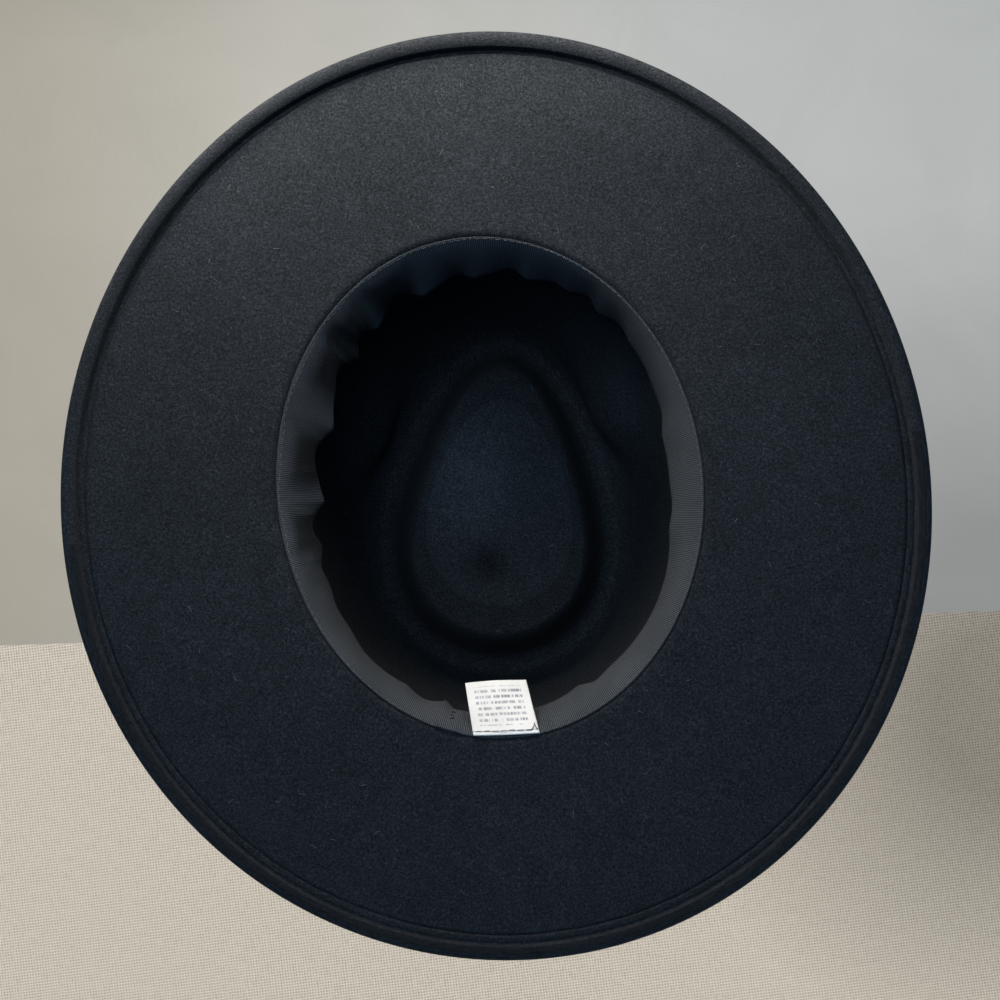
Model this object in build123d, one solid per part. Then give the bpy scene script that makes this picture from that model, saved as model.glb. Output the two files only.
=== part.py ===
from build123d import *
from math import acos, ceil, cos, exp, hypot, pi, radians, sin, tan
import os

# A wide-brimmed wool-felt hat with a teardrop crown, in millimetres.
# +Z is up through the crown, -Y is the front (the brow) and +X is the wearer's left.
# The origin is on the surface that the brim rests on, under the middle of the brim.
# Rings are points at equal steps of an angle t: 0 at the front, a quarter turn at the wearer's left.

# Felt
felt_thickness = 2.2

# Head opening, where the crown meets the brim
opening_length = 200.4
opening_width = 169.6
opening_shift_x = -2.3
opening_shift_y = -1.9
break_radius = 4.0  # the felt's roll from the brim into the crown
break_inset = 1.5  # the crown's wall stands this far inside the opening's line

# Brim
brim_length = 367.0
brim_width = 342.5
brim_swell = 0.9  # the hand-shaped outline bulges three times round
brim_swell_turn = 12.0
brim_rise = 2.4  # from the hem up to the opening

# Folded edge of the brim
hem_width = 9.6
hem_lip = 0.9  # the raw edge's slope
hem_groove_inset = 6.6
hem_groove_depth = 0.9
bead_felt = 1.85  # the felt is stretched this thin over the wire
rest_ring_width = 2.0  # flat ring under the bead that the hat rests on

# Wire in the folded edge
wire_diameter = 1.6
wire_clearance = 0.06
wire_gap = 0.6
joiner_wall = 0.4
joiner_length = 16.0
joiner_turn = 200.0

# Crown
crown_height = 108.0  # from the brim's underside at the opening to the underside of the ridge
wall_lean = 0.06
wall_fullness = 0.60
shoulder_inset = 0.42
crease_length = 158.0
crease_width = 108.0
crease_taper = 0.27  # narrows the front of the teardrop
crease_turn = 9.0
crease_shift_x = 1.2
crease_shift_y = 0.8
dent_depth = 25.0
dent_flank = 25.0
dent_sag = 1.5

# Front pinches
pinch_depth = 13.0
pinch_rise = 0.60  # along the wall's section, from its foot to the ridge
pinch_spread_up = 0.20
pinch_left_turn = 68.0
pinch_right_turn = -62.0
pinch_spread_front = 24.0
pinch_spread_back = 15.0

# Ribbon sweatband
ribbon_width = 25.0
ribbon_thickness = 0.6
ribbon_seat = 0.12
ribbon_lean = 9.2
ribbon_lean_side = 1.6  # leans further in on the wearer's right
ribbon_lean_front = 1.2
ribbon_roll = 0.48
ripple_depth = 3.0
ripple_width = 5.5
ripple_turns = [2, -9, -19, -31, -45, -58, -73, -88, -103, -119, -139, -161, 16, 33, 48, 76, 104, 133, 160]
thread_diameter = 0.5
thread_clearance = 0.03
ribbon_stitch_length = 3.6
ribbon_stitch_count = 96
lap_turn = 200.0
lap_stitch_count = 3
lap_stitch_length = 2.2
lap_stitch_start = 0.45
lap_stitch_pitch = 0.18

# Care label, sewn along its lower edge
label_width = 26.0
label_height = 25.0
label_thickness = 0.4
label_turn = 184.6
label_lean = 50.0
label_clearance = 0.65
label_seam_inset = 1.6
label_stitch_count = 5
label_stitch_length = 3.0
label_stitch_pitch = 4.7
label_stitch_start = 0.8  # from the label's end
label_thread_bend = 2.2  # the seam's loose end

# Hem stitches
hem_stitch_length = 5.4
hem_stitch_count = 132

# Belt
strap_width = 16.0
strap_thickness = 1.4
strap_gap = 0.3
strap_lift = 2.0  # above the crown's foot
fold_length = 23.0
tip_length = 46.0
hole_length = 5.6
hole_width = 2.2
hole_pitch = 10.0
hole_count = 4
fold_stitch_diameter = 0.2
fold_stitch_count = 5
fold_stitch_length = 2.0
tack_diameter = 0.5
tack_reach = 3.0
tack_clearance = 0.1
tack_turns = [-150, -100, -50, 0, 45, 170]

# Buckle
bar_diameter = 1.8
bar_clearance = 0.05
frame_length = 19.0
frame_side_clearance = 1.0
frame_corner = 1.8
prong_height = 1.6
prong_thickness = 0.9
prong_overhang = 1.2
prong_slot_clearance = 0.4
prong_rest = 0.3

# Keeper loop
keeper_wall = 1.0
keeper_width = 5.0
keeper_place = 17.0  # from the heel bar
keeper_stitch_diameter = 0.3

# Rings that carry the smooth surfaces
ring_steps = 48
ribbon_steps = 144
ring_pitch = 5.0
ring_pitch_fine = 2.2
roll_rings = 4
channel_steps = 6
walk_ease = 0.3
dent_middle = 0.13
strap_step = 2.0


# Levels and radii that follow from the sizes above
channel_radius = wire_diameter / 2 + wire_clearance
bead_radius = channel_radius + bead_felt
hem_top = 2 * bead_radius
brim_under = hem_top - 0.3 * bead_felt - felt_thickness
break_level = brim_under + brim_rise
wall_foot = break_level + break_radius
ridge_level = break_level + crown_height
belt_grow = felt_thickness - break_inset
belt_pitch = opening_length / 2 + belt_grow
belt_bottom = wall_foot + strap_lift
bar_radius = bar_diameter / 2
strap_seat = strap_gap + strap_thickness / 2
return_seat = strap_gap + keeper_wall + strap_gap + strap_thickness / 2
bar_seat = return_seat + strap_thickness / 2 + bar_clearance + bar_radius
wrap_radius = bar_radius + bar_clearance + strap_thickness / 2
layer_pitch = strap_thickness + strap_gap
front_seat = bar_seat - bar_radius - strap_gap - strap_thickness / 2
over_seat = bar_seat + wrap_radius + layer_pitch
heel_place = frame_length / 2
front_place = -frame_length / 2
belt_turn = 2 * pi * belt_pitch
fold_end = heel_place + fold_length
prong_rise = bar_radius + prong_rest + prong_thickness / 2
keeper_inner = strap_gap + keeper_wall
keeper_depth = 3 * layer_pitch + strap_gap
ribbon_turn = acos(1 - break_inset / break_radius)  # where the ribbon's sewn edge lies on the felt's roll


# Outlines


def opening_edge(t, grow):
    x = opening_shift_x + (opening_width / 2 + grow) * sin(t)
    y = opening_shift_y - (opening_length / 2 + grow) * cos(t)
    return x, y


def brim_edge(t, inset):
    swell = brim_swell * cos(3 * (t - radians(brim_swell_turn)))
    x = (brim_width / 2 + swell - inset) * sin(t)
    y = -(brim_length / 2 + swell - inset) * cos(t)
    return x, y


def crease_edge(t):
    turn = radians(crease_turn)
    around = t - turn
    across = crease_width / 2 * sin(around) * (1 - crease_taper * cos(around))
    along = -crease_length / 2 * cos(around)
    x = crease_shift_x + across * cos(turn) - along * sin(turn)
    y = crease_shift_y + across * sin(turn) + along * cos(turn)
    return x, y


def turn_between(t, degrees_to):
    """Signed angle in degrees from a direction to t, within half a turn."""
    return ((t - radians(degrees_to)) / pi * 180 + 180) % 360 - 180


# The felt's inner surface: s runs from 0 at the middle of the dent, by 1 at the ridge and 2 at the
# wall's foot, to 3 at the start of the brim and 4 at the hem


def dent_point(t, s):
    x, y = crease_edge(t)
    reach = hypot(x - crease_shift_x, y - crease_shift_y)
    inward = min((1 - s) * reach / dent_flank, 1)
    fall = (1 - (1 - inward) ** 2) ** 2
    sag = (1 - s * s) ** 3
    z = ridge_level - dent_depth * fall - dent_sag * sag
    return crease_shift_x + (x - crease_shift_x) * s, crease_shift_y + (y - crease_shift_y) * s, z


def pinch_push(t, w):
    push = 0
    for place in (pinch_left_turn, pinch_right_turn):
        away = turn_between(t, place) * (1 if place > 0 else -1)
        spread = pinch_spread_back if away > 0 else pinch_spread_front
        push += exp(-((away / spread) ** 2))
    return pinch_depth * push * exp(-(((w - pinch_rise) / pinch_spread_up) ** 2))


def wall_point(t, w):
    """w is 0 at the wall's foot and 1 at the ridge."""
    inset = 3 * (1 - w) ** 2 * w * wall_lean + 3 * (1 - w) * w**2 * shoulder_inset + w**3
    rise = 3 * (1 - w) ** 2 * w * wall_fullness + 3 * (1 - w) * w**2 + w**3
    foot_x, foot_y = opening_edge(t, -break_inset)
    top_x, top_y = crease_edge(t)
    push = pinch_push(t, w)
    x = foot_x + (top_x - foot_x) * inset - push * sin(t)
    y = foot_y + (top_y - foot_y) * inset + push * cos(t)
    return x, y, wall_foot + (ridge_level - wall_foot) * rise


def roll_point(t, turn):
    """turn is the angle round the roll: 0 on the wall, a quarter turn on the brim."""
    x, y = opening_edge(t, break_radius * (1 - cos(turn)) - break_inset)
    return x, y, wall_foot - break_radius * sin(turn)


def brim_point(t, u):
    """u is 0 at the end of the roll and 1 at the hem's raw edge."""
    x0, y0 = opening_edge(t, break_radius - break_inset)
    x1, y1 = brim_edge(t, hem_width)
    z = break_level - brim_rise * (3 * u * u - 2 * u**3)
    return x0 + (x1 - x0) * u, y0 + (y1 - y0) * u, z


def inner_point(t, s):
    if s <= 1:
        return dent_point(t, s)
    if s <= 2:
        return wall_point(t, 2 - s)
    if s <= 3:
        return roll_point(t, (s - 2) * pi / 2)
    return brim_point(t, s - 3)


def outer_point(t, s):
    """The inner surface moved outwards by the felt's thickness."""
    step = 0.002
    ahead = Vector(*inner_point(t, min(s + step, 4)))
    behind = Vector(*inner_point(t, s - step))
    left = Vector(*inner_point(t + step, s))
    right = Vector(*inner_point(t - step, s))
    normal = (ahead - behind).cross(left - right).normalized()
    point = Vector(*inner_point(t, s)) + normal * felt_thickness
    return point.X, point.Y, point.Z


# Shared ways of making solids


def ring(point_at, steps=ring_steps):
    """A closed smooth wire through point_at(t) at equal steps of t."""
    points = [point_at(2 * pi * i / steps) for i in range(steps)]
    places = [i / steps for i in range(steps + 1)]
    return Wire([Edge.make_spline(points, periodic=True, parameters=places)])


def skin(rings):
    """A smooth surface through closed wires, or a straight one between two."""
    return Shell.make_loft(rings, ruled=len(rings) == 2).faces()


def closed_solid(faces):
    return Solid(Shell(Face.sew_faces(faces)[0]))


def rod(start, end, diameter):
    start = Vector(*start)
    end = Vector(*end)
    plane = Plane(origin=start, z_dir=end - start)
    return Solid.make_cylinder(diameter / 2, (end - start).length, plane)


def stitch_row(point_at, count, length, diameter):
    """Short straight threads at equal steps along point_at(t)."""
    stitches = []
    for i in range(count):
        t = 2 * pi * i / count
        step = 0.001
        here = Vector(*point_at(t))
        along = (Vector(*point_at(t + step)) - Vector(*point_at(t - step))).normalized()
        start = here - along * length / 2
        stitches.append(rod(start, start + along * length, diameter))
    return Compound(stitches)


def save(shape, name):
    export_step(shape, f"parts/{name}.step")


# Felt


def hem_rings():
    """The folded edge's rings, from the raw edge's root round the bead to the brim's top."""
    step = pi / 8
    under = [
        (hem_width - hem_lip * 0.25, hem_groove_depth * 0.55),
        (hem_width - hem_lip, hem_groove_depth * 0.4),
        ((hem_width - hem_lip + hem_groove_inset) / 2, hem_groove_depth * 0.55),
        (hem_groove_inset, hem_groove_depth),
        ((hem_groove_inset + bead_radius + rest_ring_width) / 2, hem_groove_depth * 0.45),
        (bead_radius + rest_ring_width, 0),
    ]
    bead = [(bead_radius * (1 - sin(step * i)), bead_radius * (1 - cos(step * i))) for i in range(9)]
    top = [
        ((hem_groove_inset + bead_radius) / 2, hem_top - 0.1 * bead_felt),
        (hem_groove_inset, hem_top - 0.55 * bead_felt),
        ((hem_width + hem_groove_inset) / 2, hem_top - 0.35 * bead_felt),
    ]
    rows = []
    for profile in (under, bead, top):
        rows.append([ring(lambda t, p=p: (*brim_edge(t, p[0]), p[1])) for p in profile])
    return rows


def walk(start, end, first_step, step, last_step):
    """Stations from start to end, a step apart on the felt, with shorter steps at both ends."""
    stations = [start]
    while stations[-1] < end:
        s = stations[-1]
        turns = (0.3, 1.6, 3.3, 4.7)
        reach = [Vector(*inner_point(t, s + 0.001)) - Vector(*inner_point(t, s)) for t in turns]
        speed = sum(vector.length for vector in reach) / len(turns) / 0.001
        share = (s - start) / (end - start)
        near = max(1 - share / walk_ease, 0)
        far = max(1 - (1 - share) / walk_ease, 0)
        stations.append(s + (step + (first_step - step) * near + (last_step - step) * far) / speed)
    stretch = (end - start) / (stations[-1] - start)
    return [start + (s - start) * stretch for s in stations]


def felt_stations():
    dent = walk(dent_middle, 1, ring_pitch, ring_pitch, ring_pitch_fine)
    wall = walk(1, 2, ring_pitch_fine, ring_pitch, ring_pitch_fine)
    roll = [2 + i / roll_rings for i in range(1, roll_rings)]
    brim = walk(3, 4, ring_pitch_fine, ring_pitch * 1.3, ring_pitch_fine)
    return dent[:-1] + wall + roll + brim


def felt_body():
    stations = felt_stations()
    inside = [ring(lambda t, s=s: inner_point(t, s)) for s in stations]
    outside = [ring(lambda t, s=s: outer_point(t, s)) for s in reversed(stations[1:])]
    under, bead, top = hem_rings()
    middle_level = inner_point(0, dent_middle)[2] + felt_thickness
    top_middle = ring(lambda t: (*inner_point(t, dent_middle)[:2], middle_level))
    faces = skin(inside)
    faces += skin([inside[-1], under[0]])
    faces += skin(under)
    faces += skin([*bead, *top, *outside, top_middle])
    faces.append(Face(under[-1], [bead[0]]))
    faces.append(Face(inside[0]))
    faces.append(Face(top_middle))
    return closed_solid(faces) - wire_channel() - joiner_blank(channel_radius + joiner_wall)


# Wire in the hem


def wire_point(t):
    return *brim_edge(t, bead_radius), bead_radius


def tube_along(point_at, radius, start_turn, end_turn, steps):
    """A solid round tube along an open arc of point_at(t)."""
    stations = [start_turn + (end_turn - start_turn) * i / steps for i in range(steps + 1)]
    path = Edge.make_spline([point_at(t) for t in stations])
    section = Plane(origin=path @ 0, z_dir=path % 0)
    return sweep(section * Circle(radius), path=path)


def joiner_span():
    return radians(joiner_turn), joiner_length / (brim_length / 2)


def channel_rings(start_turn):
    """Half of the channel's section, as rings round the brim."""
    rings = []
    for i in range(channel_steps + 1):
        turn = start_turn + pi * i / channel_steps
        inset = bead_radius - channel_radius * cos(turn)
        level = bead_radius + channel_radius * sin(turn)
        rings.append(ring(lambda t, inset=inset, level=level: (*brim_edge(t, inset), level)))
    return rings


def wire_channel():
    """The closed channel that the wire lies in."""
    return closed_solid(skin(channel_rings(-pi)) + skin(channel_rings(0)))


def joiner_blank(radius):
    middle, span = joiner_span()
    return tube_along(wire_point, radius, middle - span / 2, middle + span / 2, 4)


def brim_wire():
    middle, _ = joiner_span()
    half_gap = wire_gap / brim_length
    return tube_along(wire_point, wire_diameter / 2, middle + half_gap, middle + 2 * pi - half_gap, 72)


def wire_joiner():
    return joiner_blank(channel_radius + joiner_wall - wire_clearance) - wire_channel()


# Stitches of the hem


def hem_stitches():
    below = hem_groove_depth - thread_diameter / 2 - thread_clearance
    above = hem_top - 0.55 * bead_felt + thread_diameter / 2 + thread_clearance
    under_row = stitch_row(
        lambda t: (*brim_edge(t, hem_groove_inset), below), hem_stitch_count, hem_stitch_length, thread_diameter
    )
    top_row = stitch_row(
        lambda t: (*brim_edge(t, hem_groove_inset), above), hem_stitch_count, hem_stitch_length, thread_diameter
    )
    return Compound([*under_row.solids(), *top_row.solids()])


# Sweatband


def ribbon_section(t, v, layer):
    """A point of the ribbon's section: v up its width, layer 0 on the felt's side and 1 inside."""
    lean = ribbon_lean - ribbon_lean_side * sin(t) + ribbon_lean_front * cos(t)
    height = (ribbon_width**2 - lean**2) ** 0.5
    away = ribbon_seat + ribbon_thickness * layer
    start_in = ribbon_roll * lean
    start_up = start_in / tan(ribbon_turn)
    inward = 2 * (1 - v) * v * start_in + v * v * lean
    upward = 2 * (1 - v) * v * start_up + v * v * height
    slope_in = (1 - 2 * v) * start_in + v * lean
    slope_up = (1 - 2 * v) * start_up + v * height
    size = hypot(slope_in, slope_up)
    z = wall_foot - break_radius * sin(ribbon_turn) + upward - away * slope_in / size
    return -inward - away * slope_up / size, z


def ripple(t):
    """How far the free edge is drawn in: folds of the ribbon point inwards."""
    total = 0
    for place in ripple_turns:
        away = abs(turn_between(t, place)) / ripple_width
        total += exp(-(away**1.6))
    calm = 0.55 - 0.45 * cos(t - radians(-50))
    return ripple_depth * (1 - 0.6 * calm) * (total - 0.45)


def ribbon_point(t, v, layer):
    grow, z = ribbon_section(t, v, layer)
    x, y = opening_edge(t, grow - ripple(t) * v**2)
    return x, y, z


def sweatband():
    levels = [0, 0.2, 0.4, 0.6, 0.8, 1]
    felt_side = [ring(lambda t, v=v: ribbon_point(t, v, 0), ribbon_steps) for v in levels]
    head_side = [ring(lambda t, v=v: ribbon_point(t, v, 1), ribbon_steps) for v in levels]
    faces = skin(felt_side) + skin(head_side)
    faces += skin([felt_side[0], head_side[0]])
    faces += skin([felt_side[-1], head_side[-1]])
    return closed_solid(faces)


def on_ribbon(t, v, away):
    """A point off the ribbon's inner face."""
    return ribbon_point(t, v, 1 + away / ribbon_thickness)


def sweatband_stitches():
    away = thread_diameter / 2 + thread_clearance
    return stitch_row(
        lambda t: on_ribbon(t, 0.06, away), ribbon_stitch_count, ribbon_stitch_length, thread_diameter
    )


def sweatband_lap_stitches():
    t = radians(lap_turn)
    away = thread_diameter / 2 + 2 * thread_clearance
    stitches = []
    for i in range(lap_stitch_count):
        level = lap_stitch_start + lap_stitch_pitch * i
        start = Vector(*on_ribbon(t, level, away))
        upward = (Vector(*on_ribbon(t, level + 0.02, away)) - start).normalized()
        stitches.append(rod(start, start + upward * lap_stitch_length, thread_diameter))
    return Compound(stitches)


# Care label


def label_plane():
    """Origin at the middle of the sewn edge, x along it, y up the label, z towards the head."""
    t = radians(label_turn)
    foot = Vector(*on_ribbon(t, 0.0, label_clearance))
    edge = Vector(*on_ribbon(t + 0.1, 0.0, label_clearance)) - Vector(*on_ribbon(t - 0.1, 0.0, label_clearance))
    along = Vector(-edge.X, -edge.Y, 0).normalized()
    inward = Vector(0, 0, 1).cross(along) * -1
    sagitta = (label_width / 2) ** 2 / opening_width
    foot = foot + inward * sagitta
    lean = radians(label_lean)
    up = inward * sin(lean) + Vector(0, 0, 1) * cos(lean)
    return Plane(origin=foot, x_dir=along, z_dir=along.cross(up))


def care_label():
    middle = (0, label_height / 2)
    outline = Rectangle(label_width, label_height)
    return extrude(label_plane() * Pos(*middle) * outline, label_thickness)


def label_stitches():
    plane = label_plane()
    z = label_thickness + thread_diameter / 2 + thread_clearance
    stitches = []
    for i in range(label_stitch_count):
        start = label_stitch_start - label_width / 2 + label_stitch_pitch * i
        first = plane.from_local_coords(Vector(start, label_seam_inset, z))
        last = plane.from_local_coords(Vector(start + label_stitch_length, label_seam_inset, z))
        stitches.append(rod(first, last, thread_diameter))
    start = start + label_stitch_length + thread_diameter
    end = label_width / 2 - thread_diameter
    places = [
        (start, label_seam_inset),
        ((start + end) / 2, label_seam_inset + label_thread_bend),
        (end, label_seam_inset),
    ]
    path = Edge.make_three_point_arc(*[plane.from_local_coords(Vector(x, y, z)) for x, y in places])
    section = Plane(origin=path @ 0, z_dir=path % 0)
    stitches.append(sweep(section * Circle(thread_diameter / 2), path=path).solid())
    return Compound(stitches)


# Belt: l runs along the strap from the middle of the buckle towards the back, d outwards from the crown


def belt_angle(l):
    return pi / 2 + l / belt_pitch


def belt_normal(t):
    return Vector(belt_pitch * sin(t), -(opening_width / 2 + belt_grow) * cos(t)).normalized()


def belt_place(l, d):
    t = belt_angle(l)
    return Vector(*opening_edge(t, belt_grow)) + belt_normal(t) * d


def belt_plane(l, d, z):
    """A plane on the belt: x along the strap, y up, z outwards."""
    normal = belt_normal(belt_angle(l))
    along = Vector(0, 0, 1).cross(normal)
    origin = belt_place(l, d) + Vector(0, 0, z)
    return Plane(origin=origin, x_dir=along, z_dir=normal)


def ease(x, start, end, low, high):
    share = min(max((x - start) / (end - start), 0), 1)
    return low + (high - low) * share * share * (3 - 2 * share)


def strap_seat_at(l):
    """How far the strap's middle stands off the crown, from the fold round to the tip."""
    main_seat = return_seat + layer_pitch
    if l < belt_turn / 2:
        seat = ease(l, heel_place, heel_place + 5, bar_seat + wrap_radius, main_seat)
        return ease(l, fold_end, fold_end + 10, seat, strap_seat)
    l = l - belt_turn
    seat = ease(l, front_place - 6, front_place, strap_seat, front_seat)
    seat = ease(l, front_place + 7.5, heel_place - 2.5, seat, over_seat)
    seat = ease(l, heel_place + 2, heel_place + 9, seat, main_seat + layer_pitch)
    return ease(l, fold_end + 2, fold_end + 12, seat, strap_seat + layer_pitch)


def strap_line(start, end, step, side):
    """A line beside the middle of the strap's main run."""
    count = ceil((end - start) / step)
    points = []
    for i in range(count + 1):
        l = start + (end - start) * i / count
        slope = (strap_seat_at(l + 0.01) - strap_seat_at(l - 0.01)) / 0.02
        size = hypot(1, slope)
        points.append(belt_place(l - side * slope / size, strap_seat_at(l) + side / size))
    return points


def strap_side(side):
    """One long side of the strap seen from above, from the fold's hidden end to the free tip."""
    count = ceil(fold_length / strap_step)
    back = [belt_place(fold_end - fold_length * i / count, return_seat - side) for i in range(count + 1)]
    centre = bar_centre()
    outwards = belt_normal(belt_angle(heel_place)) * (wrap_radius + side)
    forwards = outwards.cross(Vector(0, 0, 1))
    edges = [Edge.make_spline(back)]
    edges.append(Edge.make_three_point_arc(centre - outwards, centre + forwards, centre + outwards))
    ends = [heel_place, fold_end + 14, belt_turn + front_place - 12, belt_turn + heel_place + tip_length]
    for start, end, step in zip(ends[:-1], ends[1:], (strap_step, 4 * strap_step, strap_step)):
        edges.append(Edge.make_spline([edges[-1] @ 1, *strap_line(start, end, step, side)[1:]]))
    return edges


def strap_holes():
    """Oval holes: the prong stands in the first, and the rest lie towards the tip."""
    holes = []
    for i in range(-1, hole_count):
        l = prong_hole_place() + hole_pitch * i
        seat = strap_seat_at(belt_turn + l)
        plane = belt_plane(l, seat, belt_bottom + strap_width / 2)
        outline = plane * SlotOverall(hole_length, hole_width)
        holes.append(extrude(outline, strap_gap / 2 + strap_thickness / 2 + (1.2 if i == 0 else 0), both=True))
    return holes


def belt_strap():
    left = strap_side(strap_thickness / 2)
    right = strap_side(-strap_thickness / 2)
    tip_end = Edge.make_line(left[-1] @ 1, right[-1] @ 1)
    hidden_end = Edge.make_line(right[0] @ 0, left[0] @ 0)
    outline = Face(Wire([*left, tip_end, *right, hidden_end]))
    strap = extrude(Pos(0, 0, belt_bottom) * outline, strap_width, dir=(0, 0, 1))
    for hole in strap_holes():
        strap -= hole
    strap -= fold_slot()
    return strap - tip_cutter()


def fold_slot():
    """Room in the fold for the prong's eye."""
    radius = wrap_radius + strap_thickness / 2 + bar_clearance
    height = prong_height + 2 * prong_slot_clearance
    middle = belt_bottom + strap_width / 2
    centre = bar_centre()
    return Solid.make_cylinder(radius, height, Plane(origin=(centre.X, centre.Y, middle - height / 2)))


def tip_cutter():
    """What is cut away to round the strap's free end."""
    end = heel_place + tip_length
    seat = strap_seat + layer_pitch
    radius = strap_width / 2
    plane = belt_plane(end - radius, seat, belt_bottom + radius)
    blank = Pos(radius, 0) * Rectangle(2 * radius, 4 * radius)
    return extrude(plane * (blank - Circle(radius)), strap_thickness / 2 + strap_gap / 2, both=True)


def fold_stitches():
    radius = fold_stitch_diameter / 2
    l = heel_place + 8
    seat = strap_seat_at(l) + strap_thickness / 2 + radius + thread_clearance
    pitch = strap_width / fold_stitch_count
    stitches = []
    for i in range(fold_stitch_count):
        z = belt_bottom + pitch * (i + 0.5)
        foot = belt_place(l, seat)
        start = Vector(foot.X, foot.Y, z - fold_stitch_length / 2)
        stitches.append(rod(start, start + Vector(0, 0, fold_stitch_length), fold_stitch_diameter))
    return Compound(stitches)


def belt_tacks():
    """Threads over the strap's upper edge that hold it to the felt."""
    top = belt_bottom + strap_width
    lift = tack_diameter / 2 + thread_clearance
    outside = strap_gap + strap_thickness + lift
    tacks = []
    for turn in tack_turns:
        l = (radians(turn) - pi / 2) * belt_pitch
        corner = belt_place(l, outside) + Vector(0, 0, top + lift)
        low = corner - Vector(0, 0, tack_reach)
        felt_w = (top + lift - wall_foot) / (ridge_level - wall_foot) / 3 / wall_fullness
        wall_x, wall_y, _ = outer_point(radians(turn), 2 - felt_w * 1.12)
        inner = Vector(wall_x, wall_y, top + lift) + belt_normal(radians(turn)) * tack_clearance
        path = FilletPolyline(low, corner, inner, radius=tack_diameter)
        section = Plane(origin=low, z_dir=path % 0)
        tacks.append(sweep(section * Circle(tack_diameter / 2), path=path))
    return Compound([tack.solid() for tack in tacks])


# Buckle


def bar_centre():
    return belt_place(heel_place, bar_seat)


def front_centre():
    """The frame is flat, and stands as the belt does at the buckle's middle."""
    return bar_centre() - Vector(0, frame_length, 0)


def frame_plane():
    heel = bar_centre()
    front = front_centre()
    along = (heel - front).normalized()
    normal = along.cross(Vector(0, 0, 1))
    middle = (heel + front) / 2
    return Plane(origin=(middle.X, middle.Y, belt_bottom + strap_width / 2), x_dir=along, z_dir=normal)


def buckle_frame():
    height = strap_width + 2 * frame_side_clearance + bar_diameter
    plane = frame_plane()
    path = plane * RectangleRounded(frame_length, height, frame_corner)
    wire = path.wire()
    start = wire.edges()[0]
    section = Plane(origin=start @ 0, z_dir=start % 0)
    return sweep(section * Circle(bar_radius), path=wire, transition=Transition.RIGHT)


def prong_hole_place():
    """Where the prong's line crosses the strap on its way up from under the frame to over it."""
    low = front_place
    high = heel_place - bar_diameter
    for _ in range(40):
        middle = (low + high) / 2
        line = bar_centre().X + prong_rise * (heel_place - middle) / frame_length - belt_place(middle, 0).X
        if strap_seat_at(belt_turn + middle) > line:
            high = middle
        else:
            low = middle
    return low


def buckle_prong():
    heel = bar_centre()
    middle = belt_bottom + strap_width / 2
    plane = Plane(origin=(heel.X, heel.Y, middle - prong_height / 2), x_dir=front_centre() - heel, z_dir=(0, 0, 1))
    eye_inner = bar_radius + bar_clearance
    tip = Vector(frame_length, prong_rise) * (1 + prong_overhang / frame_length)
    across = Vector(-tip.Y, tip.X).normalized() * prong_thickness / 2
    blade = Polyline([-across, tip - across * 0.6, tip + across * 0.6, across], close=True)
    eye = extrude(plane * Circle(eye_inner + prong_thickness), prong_height)
    shaft = extrude(plane * make_face(blade), prong_height)
    return eye + shaft - extrude(plane * Circle(eye_inner), prong_height)


# Keeper loop


def keeper_plane(d):
    return belt_plane(heel_place + keeper_place, d, belt_bottom + strap_width / 2)


def keeper_loop():
    height = strap_width + 2 * strap_gap
    outer = Box(keeper_width, height + 2 * keeper_wall, keeper_depth + 2 * keeper_wall)
    inner = Box(keeper_width * 2, height, keeper_depth)
    return keeper_plane(keeper_inner + keeper_depth / 2) * (outer - inner)


def keeper_stitches():
    reach = keeper_width * 0.3
    lift = keeper_wall + keeper_stitch_diameter / 2 + thread_clearance
    plane = keeper_plane(keeper_inner + keeper_depth + lift)
    stitches = []
    for side in (-reach, reach):
        start = plane.from_local_coords(Vector(side, -reach, 0))
        end = plane.from_local_coords(Vector(side, reach, 0))
        stitches.append(rod(start, end, keeper_stitch_diameter))
    return Compound(stitches)


def main():
    os.makedirs("parts", exist_ok=True)
    save(felt_body(), "felt_body")
    save(brim_wire(), "brim_wire")
    save(wire_joiner(), "wire_joiner")
    save(hem_stitches(), "hem_stitches")
    save(sweatband(), "sweatband")
    save(sweatband_stitches(), "sweatband_stitches")
    save(sweatband_lap_stitches(), "sweatband_lap_stitches")
    save(care_label(), "care_label")
    save(label_stitches(), "label_stitches")
    save(belt_strap(), "belt_strap")
    save(fold_stitches(), "belt_fold_stitches")
    save(belt_tacks(), "belt_tacks")
    save(buckle_frame(), "buckle_frame")
    save(buckle_prong(), "buckle_prong")
    save(keeper_loop(), "keeper_loop")
    save(keeper_stitches(), "keeper_stitches")


main()
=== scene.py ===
import math

import bpy
import numpy as np
from mathutils import Matrix, Vector


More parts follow.
